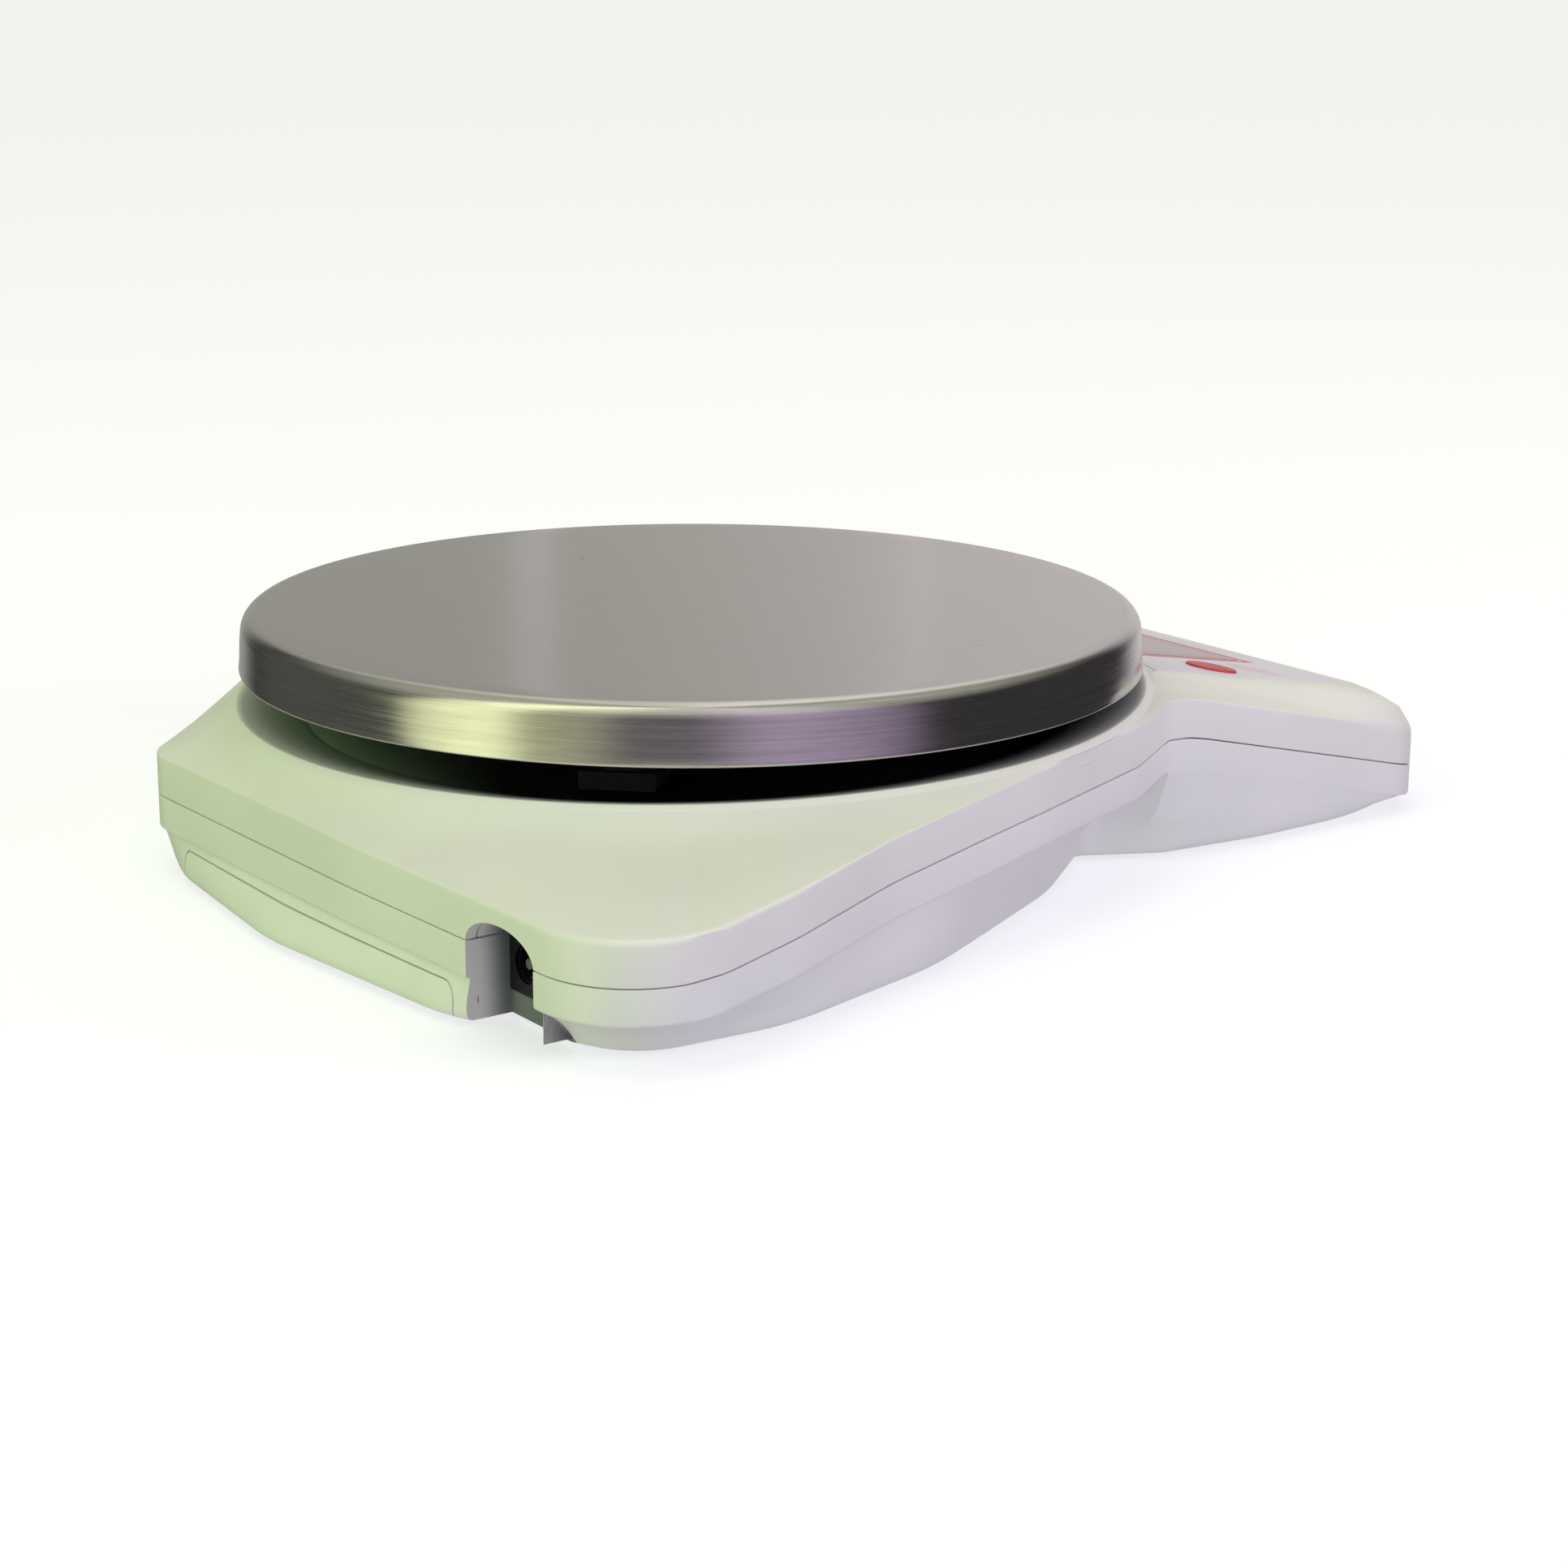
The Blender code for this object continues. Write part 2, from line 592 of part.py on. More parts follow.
overload_stop = node_from(
    drum_bm(0.0042, FLOOR_Z + GAP, CELL_Z[0] - 0.0006, (0.0, -0.034), 6), "overload_stop", "screw", ROOT, False)

# ---- platter support: hub, cross and four pads, carried by the load cell's front end ----
HUB_Z = (0.0243, 0.0330)
ARM_Z = (0.0315, 0.0350)
PAD_RING = 0.070
PAD_TOP = PLATTER_TOP - SHEET - GAP
SUPPORT_SCREWS = [(0.0, -0.036), (0.0, -0.028)]
SUPPORT = empty("support_frame", (0.0, 0.0, CELL_Z[1]), parent=ROOT)
into_support = Matrix.Translation((0.0, 0.0, -CELL_Z[1]))


def on_support(bm):
    bmesh.ops.transform(bm, verts=bm.verts, matrix=into_support)
    return bm


platter_support = node_from(on_support(drum_bm(0.0395, *HUB_Z, steps=32)), "platter_support", "carrier", SUPPORT)
for number in range(2):
    arm = cube_bm((-0.078, -0.0075, ARM_Z[0]), (0.078, 0.0075, ARM_Z[1]))
    bmesh.ops.transform(arm, verts=arm.verts, matrix=Matrix.Rotation(pi / 4 + number * pi / 2, 4, "Z"))
    boolean(platter_support, cutter(f"support_arm_{number + 1}", on_support(arm), SUPPORT), "UNION")
for number in range(4):
    angle = pi / 4 + number * pi / 2
    centre = (PAD_RING * cos(angle), PAD_RING * sin(angle))
    riser = drum_bm(0.0070, ARM_Z[0] + 0.0005, PAD_TOP - 0.002 - GAP, centre, 16, 0.0062)
    boolean(platter_support, cutter(f"support_riser_{number + 1}", on_support(riser), SUPPORT), "UNION")
    pad = on_support(drum_bm(0.0058, PAD_TOP - 0.002, PAD_TOP, centre, 16))
    node_from(pad, f"platter_pad_{number + 1}", "rubber", SUPPORT)
spacer_low = (-CELL_HALF, -0.040, CELL_Z[1] + GAP)
spacer_high = (CELL_HALF, -0.024, HUB_Z[0] - GAP)
support_spacer = node_from(on_support(cube_bm(spacer_low, spacer_high)), "support_spacer", "screw", SUPPORT, False)
for number, centre in enumerate(SUPPORT_SCREWS, 1):
    pilot_bm = drum_bm(0.0017, 0.0125, 0.05, centre, 12)
    cut(load_cell, cutter(f"support_pilot_{number}", pilot_bm.copy(), ROOT))
    pilot = cutter(f"support_through_{number}", on_support(pilot_bm), SUPPORT)
    seat = cutter(f"support_seat_{number}", on_support(drum_bm(0.0034, HUB_Z[1] - 0.0020, 0.05, centre, 16)), SUPPORT)
    cut(platter_support, pilot, seat)
    cut(support_spacer, pilot)
    shift = into_support.translation.z
    screw(f"support_screw_{number}", centre, HUB_Z[1] - 0.0004 + shift, 0.0140 + shift, SUPPORT)

# ---- platter: a spun steel pan turned upside down ----
inner_r = PLATTER_R - SHEET
PLATTER_PROFILE = [
    (0.0, PLATTER_TOP),
    (PLATTER_R - 0.0036, PLATTER_TOP),
    (PLATTER_R - 0.0016, PLATTER_TOP - 0.0006),
    (PLATTER_R - 0.0006, PLATTER_TOP - 0.0024),
    (PLATTER_R - 0.0003, PLATTER_TOP - 0.0060),
    (PLATTER_R, SKIRT_BOTTOM + 0.0006),
    (PLATTER_R - 0.0004, SKIRT_BOTTOM),
    (inner_r - 0.0007, SKIRT_BOTTOM),
    (inner_r - 0.0009, SKIRT_BOTTOM + 0.0008),
    (inner_r - 0.0003, PLATTER_TOP - 0.0060),
    (inner_r - 0.0012, PLATTER_TOP - 0.0026),
    (inner_r - 0.0034, PLATTER_TOP - SHEET),
    (0.0, PLATTER_TOP - SHEET),
]
platter = turned(
    "platter", "steel", [(r, z - PLATTER_TOP) for r, z in PLATTER_PROFILE], 72,
    empty("platter_frame", (0.0, 0.0, PLATTER_TOP), parent=ROOT))

# ---- batteries, tray and contacts ----
BATTERY_R = 0.00725
BATTERY_LENGTH = 0.0505
BATTERY_ROWS = (0.0738, 0.0893)
BATTERY_Z = 0.0117
BAY_MIDDLE = (DOOR_X[0] + DOOR_X[1]) / 2
tray_low = (DOOR_X[0] - 0.0009, DOOR_Y - 0.0016, FLOOR_Z + GAP)
tray_high = (DOOR_X[1] + 0.0009, 0.0974, 0.0208)
battery_tray = box("battery_tray", "switch", tray_low, tray_high, ROOT)
tray_room = cube_bm((DOOR_X[0] + 0.0005, DOOR_Y, 0.0), (DOOR_X[1] - 0.0005, 0.0969 + 0.01, 0.0194))
cut(battery_tray, cutter("tray_room", tray_room, ROOT))
number = 0
for row in BATTERY_ROWS:
    for side in (-1, 1):
        number += 1
        bm = drum_bm(BATTERY_R, -BATTERY_LENGTH / 2, BATTERY_LENGTH / 2 - 0.0012, steps=20)
        lay = Matrix.Translation((BAY_MIDDLE + side * 0.0254, row, BATTERY_Z)) @ Matrix.Rotation(pi / 2, 4, "Y")
        bmesh.ops.transform(bm, verts=bm.verts, matrix=lay)
        cell = node_from(bm, f"battery_{number}", "battery", ROOT)
        cap = drum_bm(0.0027, BATTERY_LENGTH / 2 - 0.0020, BATTERY_LENGTH / 2, steps=12)
        bmesh.ops.transform(cap, verts=cap.verts, matrix=lay)
        boolean(cell, cutter(f"battery_cap_{number}", cap, ROOT), "UNION")
CONTACT = 0.0005
left = DOOR_X[0] + 0.0005 + GAP
right = DOOR_X[1] - 0.0005 - GAP
rows_low = BATTERY_ROWS[0] - 0.0055
box("contact_bridge", "contact", (left, rows_low, 0.006), (left + CONTACT, BATTERY_ROWS[1] + 0.0055, 0.0175), ROOT)
for name, row in (("contact_minus", BATTERY_ROWS[0]), ("contact_plus", BATTERY_ROWS[1])):
    box(name, "contact", (right - CONTACT, row - 0.0055, 0.006), (right, row + 0.0055, 0.0175), ROOT)

# ---- console: board, display, overlay and keys, all laid out in the sloping panel's plane ----
BOARD_Z = (-0.0100, -0.0084)
WINDOW = (-0.0265, -0.0150, 0.0265, 0.0150)
LABEL_Y = (-0.0265, 0.0175)
KEYS = {"power_key": (-0.0430, 0.0085), "tare_key": (0.0430, 0.0085), "unit_key": (0.0414, -0.0125)}
KEY_HALF = {"power_key": (0.0065, 0.0048), "tare_key": (0.0065, 0.0048), "unit_key": (0.0042, 0.0028)}
KEY_TRAVEL = 0.0008

main_board = box("main_board", "board", (-0.056, -0.0180, BOARD_Z[0]), (0.056, 0.0175, BOARD_Z[1]), PANEL)
lcd_low = (WINDOW[0] - 0.003, WINDOW[1] - 0.002, BOARD_Z[1] + GAP)
lcd_high = (WINDOW[2] + 0.003, WINDOW[3] + 0.002, -WALL - 0.0020)
lcd_module = box("lcd_module", "glass", lcd_low, lcd_high, PANEL)
label_pocket = cutter(
    "label_pocket", cube_bm((-0.0533, LABEL_Y[0] - GAP, -0.0006), (0.0533, LABEL_Y[1] + GAP, 0.004)), PANEL)
window_hole = cutter(
    "window_hole", cube_bm((WINDOW[0], WINDOW[1], -0.005), (WINDOW[2], WINDOW[3], 0.005)), PANEL)
lens_low = (WINDOW[0] + GAP, WINDOW[1] + GAP, -0.0024)
lens_high = (WINDOW[2] - GAP, WINDOW[3] - GAP, 0.0)
display_lens = box("display_lens", "lens", lens_low, lens_high, PANEL)
overlay_label = box(
    "overlay_label", "label", (-0.0530, LABEL_Y[0], -GAP), (0.0530, LABEL_Y[1], 0.0001), PANEL)
cut(upper_cover, label_pocket, window_hole)
cut(overlay_label, window_hole)

for number, (name, (x, y)) in enumerate(KEYS.items(), 1):
    half_x, half_y = KEY_HALF[name]
    key_hole = cutter(
        f"{name}_hole", oval_bm(half_x + GAP, half_y + GAP, -0.005, 0.005, (x, y), 20), PANEL)
    cut(upper_cover, key_hole)
    cut(overlay_label, key_hole)
    key = node_from(oval_bm(half_x, half_y, -0.0036, 0.0007, steps=20), name, "key", PANEL)
    key.location = (x, y, 0.0)
    switch_low = (x - 0.003, y - 0.003, BOARD_Z[1] + GAP)
    switch_high = (x + 0.003, y + 0.003, -0.0036 - KEY_TRAVEL - 0.0003)
    box(f"key_switch_{number}", "switch", switch_low, switch_high, PANEL)
box("processor", "switch", (-0.044, -0.0160, BOARD_Z[1] + GAP), (-0.034, -0.0060, -0.0064), PANEL)

# ---- cable from the load cell to the board ----
CABLE_R = 0.0011
cable_curve = bpy.data.curves.new("load_cell_cable", "CURVE")
cable_curve.dimensions = "3D"
cable_curve.bevel_depth = CABLE_R
cable_curve.bevel_resolution = 1
cable_curve.resolution_u = 5
cable_curve.use_fill_caps = True
path = cable_curve.splines.new("BEZIER")
CABLE_PATH = [(0.0080, 0.004, 0.0145), (0.018, -0.030, 0.0075), (0.012, -0.078, 0.0075), (0.012, -0.104, 0.0125)]
path.bezier_points.add(len(CABLE_PATH) - 1)
for point, position in zip(path.bezier_points, CABLE_PATH):
    point.co = position
    point.handle_left_type = "AUTO"
    point.handle_right_type = "AUTO"
cable_guide = bpy.data.objects.new("cable_guide", cable_curve)
MODEL.objects.link(cable_guide)
cable_mesh = bpy.data.meshes.new_from_object(cable_guide)
cable_bm = bmesh.new()
cable_bm.from_mesh(cable_mesh)
bmesh.ops.remove_doubles(cable_bm, verts=cable_bm.verts, dist=0.00001)
bpy.data.objects.remove(cable_guide, do_unlink=True)
load_cell_cable = node_from(cable_bm, "load_cell_cable", "wire", ROOT)
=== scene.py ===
"""Looks for the compact bench scale: smooth shells, a spun steel platter, materials, light and camera.

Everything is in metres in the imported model's frame. The shells are swept round the platter's axis:
a ray leaves the axis at each angle, and each outline gives the distance at which it is met.
"""

import json
from math import atan, cos, pi, radians, sin, tau

import bmesh
import bpy
import numpy as np
from mathutils import Matrix, Vector


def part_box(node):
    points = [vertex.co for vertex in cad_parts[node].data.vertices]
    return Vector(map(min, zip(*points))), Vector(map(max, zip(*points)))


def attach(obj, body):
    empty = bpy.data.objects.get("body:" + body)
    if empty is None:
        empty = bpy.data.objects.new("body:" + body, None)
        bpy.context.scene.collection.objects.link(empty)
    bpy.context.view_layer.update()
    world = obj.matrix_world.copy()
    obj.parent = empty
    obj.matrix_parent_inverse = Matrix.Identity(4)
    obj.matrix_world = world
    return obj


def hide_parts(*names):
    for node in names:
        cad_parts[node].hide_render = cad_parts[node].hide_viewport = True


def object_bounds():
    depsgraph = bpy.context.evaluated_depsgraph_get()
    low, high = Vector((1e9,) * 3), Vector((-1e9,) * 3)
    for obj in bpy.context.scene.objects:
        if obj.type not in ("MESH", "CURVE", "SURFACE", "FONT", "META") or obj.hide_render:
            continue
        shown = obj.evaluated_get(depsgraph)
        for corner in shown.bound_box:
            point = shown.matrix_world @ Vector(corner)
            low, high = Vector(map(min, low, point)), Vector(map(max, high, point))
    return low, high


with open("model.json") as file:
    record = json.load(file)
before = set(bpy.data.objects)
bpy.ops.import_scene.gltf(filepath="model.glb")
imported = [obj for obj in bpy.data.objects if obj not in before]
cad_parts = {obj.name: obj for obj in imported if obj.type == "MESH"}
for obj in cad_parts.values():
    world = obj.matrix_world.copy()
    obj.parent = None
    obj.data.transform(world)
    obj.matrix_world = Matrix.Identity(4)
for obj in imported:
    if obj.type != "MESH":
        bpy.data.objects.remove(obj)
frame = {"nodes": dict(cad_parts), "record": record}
CAD_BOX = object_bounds()
NODES = frame["nodes"]

# ---- places and sizes ----
PLATTER_LOW, PLATTER_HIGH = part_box("platter")
AXIS = (PLATTER_LOW + PLATTER_HIGH) / 2
PLATTER_R = (PLATTER_HIGH.x - PLATTER_LOW.x) / 2
PLATTER_TOP = PLATTER_HIGH.z
SKIRT_BOTTOM = PLATTER_LOW.z
SHEET = 0.0008
GAP = 0.0003
WALL = 0.0022
BASE_Z = 0.0014
FLOOR_Z = 0.0038
FLANGE = 0.0071
COVER_SIDE = 0.0084
RECESS_Z = 0.030
RECESS_HOLE_R = 0.044
LIP_R = 0.0946
LEDGE_R = 0.0825
PANEL_Y = -0.118
PANEL_EDGE_X = 0.054
CONSOLE_HALF = 0.0725
SHOULDER_DROP = 0.004
CONSOLE_SLOPE = 0.180
NICHE_MIDDLE = -0.08985      # the socket niche's middle and half width
NICHE_HALF = 0.01085
BOX_INSET = 0.0001           # how far the swept shells stay inside the solid model's box
RAYS = 620


def axis_point(x, y, z=0.0):
    """A point given relative to the platter's axis, in the row frame."""
    return Vector((x + AXIS.x, y + AXIS.y, z))


# ---- outlines, as in the solid model but with finer arcs ----
def rounded(corners, arc_steps=16):
    points = []
    for index, (x, y, radius) in enumerate(corners):
        here = Vector((x, y)) * 0.001
        before = (Vector(corners[index - 1][:2]) * 0.001 - here).normalized()
        after = (Vector(corners[(index + 1) % len(corners)][:2]) * 0.001 - here).normalized()
        if radius == 0:
            points.append(here)
            continue
        radius = radius * 0.001
        half = before.angle(after) / 2
        centre = here + (before + after).normalized() * (radius / sin(half))
        reach = radius * cos(half) / sin(half)
        start = here + before * reach - centre
        end = here + after * reach - centre
        turn = np.arctan2(start.cross(end), start.dot(end))
        for k in range(arc_steps + 1):
            points.append(centre + Matrix.Rotation(turn * k / arc_steps, 2) @ start)
    return np.array([tuple(p) for p in points])


BODY = rounded([
    (-72.5, -152, 16), (-73.5, -80, 0), (-72.5, -70.5, 3), (-84, -52, 20), (-97.5, -14, 90), (-108, 30, 90),
    (-118, 58, 40), (-123.6, 80, 22), (-120.2, 101.5, 20), (-40, 104, 300), (45.5, 104, 14),
    (102.6, 46.9, 30), (102.6, -24, 60), (84, -52, 20), (72.5, -70.5, 3),
    (73.5, -80, 0), (72.5, -152, 16), (0, -154.5, 200),
])
BASE = rounded([
    (-70, -151, 16), (-73, -100, 60), (-70.5, -74, 6), (-61, -56.5, 5), (-79, -33, 60), (-104, 16, 80),
    (-114.5, 57, 50), (-112.2, 88.5, 14), (-74, 105.5, 40), (-16, 111, 60), (32, 105, 40),
    (48, 99, 14), (98, 48, 30), (97, -12, 60), (61, -56.5, 5), (70.5, -74, 6), (73, -100, 60),
    (70, -151, 16), (0, -153, 200),
])
PANEL = rounded([(-54, -146.5, 8), (-54, -60, 0), (54, -60, 0), (54, -146.5, 8)])


def crossings(outline, angles):
    """Where each ray meets the outline, and the ray's length per unit of thickness square to it."""
    ray = np.stack([-np.sin(angles), -np.cos(angles)], 1)
    a = outline
    edge = np.roll(outline, -1, axis=0) - a
    across = ray[:, None, 0] * edge[None, :, 1] - ray[:, None, 1] * edge[None, :, 0]
    across = np.where(np.abs(across) < 1e-12, 1e-12, across)
    along = (a[:, 0] * edge[:, 1] - a[:, 1] * edge[:, 0])[None, :] / across
    share = (a[None, :, 0] * ray[:, None, 1] - a[None, :, 1] * ray[:, None, 0]) / across
    valid = (along > 0) & (share >= -1e-7) & (share <= 1 + 1e-7)
    distance = np.where(valid, along, 0.0)
    best = distance.argmax(1)
    rows = np.arange(len(angles))
    length = np.hypot(edge[:, 0], edge[:, 1])[best]
    return distance[rows, best], length / np.abs(across[rows, best])


def stretch(outline, angles):
    sides = crossings(outline, angles - 0.006)[1] + crossings(outline, angles + 0.006)[1]
    return np.minimum(2.2, sides / 2)


ANGLES = np.arange(RAYS) / RAYS * tau
SIDE = crossings(BODY, ANGLES)[0]
SIDE_STRETCH = stretch(BODY, ANGLES)
BASE_R = crossings(BASE, ANGLES)[0]
BASE_STRETCH = stretch(BASE, ANGLES)
PANEL_R = crossings(PANEL, ANGLES)[0]
SIDE_Y = -np.cos(ANGLES) * SIDE
SIDE_X = -np.sin(ANGLES) * SIDE
ON_CONSOLE = (SIDE_Y < -0.0700) & (np.abs(SIDE_X) < 0.0745)


def smooth(value, low, high):
    t = np.clip((value - low) / (high - low), 0.0, 1.0)
    return t * t * (3 - 2 * t)


def crease_z(y):
    """Height of the edge between the cover's top and its upright side, softly bent where it turns."""
    knots_y = [-0.160, -0.080, -0.076, -0.066, -0.020, -0.011, 0.000, 0.075, 0.085, 0.095, 0.130]
    knots_z = [0.0151, 0.0345, 0.0352, 0.0353, 0.0340, 0.0336, 0.0327, 0.0259, 0.0252, 0.0250, 0.0250]
    return np.interp(y, knots_y, knots_z)


def panel_z(y):
    return 0.0357 + CONSOLE_SLOPE * (y + 0.087)


def console_top(x, y):
    share = (np.abs(x) - PANEL_EDGE_X) / (CONSOLE_HALF - PANEL_EDGE_X)
    return panel_z(y) - SHOULDER_DROP * np.clip(share, 0.0, 1.0)


def filleted(points, radii, steps, closed):
    """Round the corners of many section polylines at once. points is (corner, ray, 2)."""
    points = np.stack(points)
    count = len(points)
    made = []
    for i in range(count):
        if not closed and i in (0, count - 1) or np.max(radii[i]) == 0:
            made.append(points[i])
            continue
        before = points[i - 1] - points[i]
        after = points[(i + 1) % count] - points[i]
        len_b = np.linalg.norm(before, axis=1, keepdims=True)
        len_a = np.linalg.norm(after, axis=1, keepdims=True)
        before = before / np.maximum(len_b, 1e-9)
        after = after / np.maximum(len_a, 1e-9)
        half = np.arccos(np.clip((before * after).sum(1, keepdims=True), -1, 1)) / 2
        reach = np.minimum(radii[i] / np.tan(np.maximum(half, 0.05)), 0.46 * np.minimum(len_a, len_b))
        for k in range(steps + 1):
            s = k / steps
            start, end = points[i] + before * reach, points[i] + after * reach
            made.append((1 - s) ** 2 * start + 2 * s * (1 - s) * points[i] + s**2 * end)
    return made


def rz(radius, height):
    """One corner of every ray's section: its distance from the axis and its height."""
    return np.stack([np.broadcast_to(radius, (RAYS,)), np.broadcast_to(height, (RAYS,))], 1)


def mesh_object(name, verts, faces, material):
    mesh = bpy.data.meshes.new(name)
    mesh.from_pydata(verts, [], faces)
    bm = bmesh.new()
    bm.from_mesh(mesh)
    bmesh.ops.recalc_face_normals(bm, faces=bm.faces)
    bmesh.ops.triangulate(bm, faces=[f for f in bm.faces if len(f.verts) > 4])
    bm.to_mesh(mesh)
    bm.free()
    mesh.materials.append(material)
    obj = bpy.data.objects.new(name, mesh)
    bpy.context.scene.collection.objects.link(obj)
    return obj


def swept(name, rings, closed, material):
    rows = [
        np.stack([AXIS.x - np.sin(ANGLES) * r[:, 0], AXIS.y - np.cos(ANGLES) * r[:, 0], r[:, 1]], 1)
        for r in rings
    ]
    verts = np.concatenate(rows)
    low = [CAD_BOX[0][0] + BOX_INSET, CAD_BOX[0][1] + BOX_INSET]
    high = [CAD_BOX[1][0] - BOX_INSET, CAD_BOX[1][1] - BOX_INSET]
    verts[:, :2] = np.clip(verts[:, :2], low, high)
    faces = []
    last = len(rows) if closed else len(rows) - 1
    for i in range(last):
        a, b = i * RAYS, ((i + 1) % len(rows)) * RAYS
        for k in range(RAYS):
            j = (k + 1) % RAYS
            faces.append((a + k, a + j, b + j, b + k))
    if not closed:
        faces.append(tuple(range(RAYS)))
        faces.append(tuple(range((len(rows) - 1) * RAYS, len(rows) * RAYS))[::-1])
    obj = mesh_object(name, verts.tolist(), faces, material)
    bm = bmesh.new()
    bm.from_mesh(obj.data)
    bmesh.ops.triangulate(bm, faces=bm.faces)
    bm.to_mesh(obj.data)
    bm.free()
    return obj


def solid(name, bm, material=None):
    bmesh.ops.recalc_face_normals(bm, faces=bm.faces)
    mesh = bpy.data.meshes.new(name)
    bm.to_mesh(mesh)
    bm.free()
    if material:
        mesh.materials.append(material)
    obj = bpy.data.objects.new(name, mesh)
    bpy.context.scene.collection.objects.link(obj)
    return obj


def cube_bm(low, high):
    bm = bmesh.new()
    bmesh.ops.create_cube(bm, size=1.0)
    size = Vector(high) - Vector(low)
    middle = (Vector(high) + Vector(low)) / 2
    bmesh.ops.transform(bm, verts=bm.verts, matrix=Matrix.Translation(middle) @ Matrix.Diagonal((*size, 1.0)))
    return bm


def prism_bm(outline, depth):
    """Extrude a flat outline of (x, y) points from z = 0 to z = depth."""
    bm = bmesh.new()
    low = [bm.verts.new((x, y, 0.0)) for x, y in outline]
    high = [bm.verts.new((x, y, depth)) for x, y in outline]
    count = len(outline)
    for i in range(count):
        j = (i + 1) % count
        bm.faces.new((low[i], low[j], high[j], high[i]))
    bm.faces.new(low[::-1])
    bm.faces.new(high)
    return bm


def joined(parts):
    """One bmesh holding several closed parts."""
    mesh = bpy.data.meshes.new("joined")
    whole = bmesh.new()
    for part in parts:
        bmesh.ops.recalc_face_normals(part, faces=part.faces)
        part.to_mesh(mesh)
        part.free()
        whole.from_mesh(mesh)
    bpy.data.meshes.remove(mesh)
    return whole


def apply_boolean(target, bm, operation):
    tool = solid("tool", bm)
    step = target.modifiers.new("step", "BOOLEAN")
    step.operation = operation
    step.object = tool
    graph = bpy.context.evaluated_depsgraph_get()
    mesh = bpy.data.meshes.new_from_object(target.evaluated_get(graph))
    target.modifiers.clear()
    old = target.data
    target.data = mesh
    bpy.data.meshes.remove(old)
    bpy.data.objects.remove(tool, do_unlink=True)


def finish_smooth(obj, angle=28.0):
    obj.data.shade_smooth()
    obj.data.set_sharp_from_angle(angle=radians(angle))


# ---- node materials ----
class Nodes:
    """A short way to write shader nodes."""

    def __init__(self, tree):
        self.tree = tree

    def add(self, kind, inputs=(), **settings):
        node = self.tree.nodes.new(kind)
        for key, value in settings.items():
            setattr(node, key, value)
        for key, value in dict(inputs).items():
            if isinstance(value, bpy.types.NodeSocket):
                self.tree.links.new(value, node.inputs[key])
            else:
                node.inputs[key].default_value = value
        return node

    def math(self, operation, a, b=0.0, clamp=False):
        return self.add("ShaderNodeMath", {0: a, 1: b}, operation=operation, use_clamp=clamp).outputs[0]

    def remap(self, value, from_low, from_high, low, high, kind="LINEAR"):
        node = self.add(
            "ShaderNodeMapRange",
            {"Value": value, "From Min": from_low, "From Max": from_high, "To Min": low, "To Max": high},
            interpolation_type=kind,
        )
        return node.outputs["Result"]

    def scaled(self, vector, scale):
        return self.add(
            "ShaderNodeVectorMath", {0: vector, 1: scale}, operation="MULTIPLY").outputs["Vector"]

    def noise(self, vector, scale, detail=3.0, roughness=0.55, distortion=0.0):
        node = self.add(
            "ShaderNodeTexNoise",
            {"Vector": vector, "Scale": scale, "Detail": detail, "Roughness": roughness,
             "Distortion": distortion},
        )
        return node.outputs["Fac"]

    def mix(self, factor, a, b):
        node = self.add("ShaderNodeMix", data_type="RGBA")
        for socket, value in ((0, factor), (6, a), (7, b)):
            if isinstance(value, bpy.types.NodeSocket):
                self.tree.links.new(value, node.inputs[socket])
            else:
                node.inputs[socket].default_value = value
        return node.outputs[2]

    def bump(self, height, strength, distance):
        node = self.add("ShaderNodeBump", {"Height": height, "Strength": strength, "Distance": distance})
        return node.outputs["Normal"]


def rgb(r, g, b):
    return (r, g, b, 1.0)


def new_material(name, **fixed):
    material = bpy.data.materials.new(name)
    material.use_nodes = True
    tree = material.node_tree
    shader = tree.nodes["Principled BSDF"]
    for key, value in fixed.items():
        shader.inputs[key.replace("_", " ")].default_value = value
    nodes = Nodes(tree)
    place = nodes.add("ShaderNodeTexCoord").outputs["Object"]
    return material, nodes, shader, place


def connect(nodes, shader, **sockets):
    for key, value in sockets.items():
        nodes.tree.links.new(value, shader.inputs[key.replace("_", " ")])


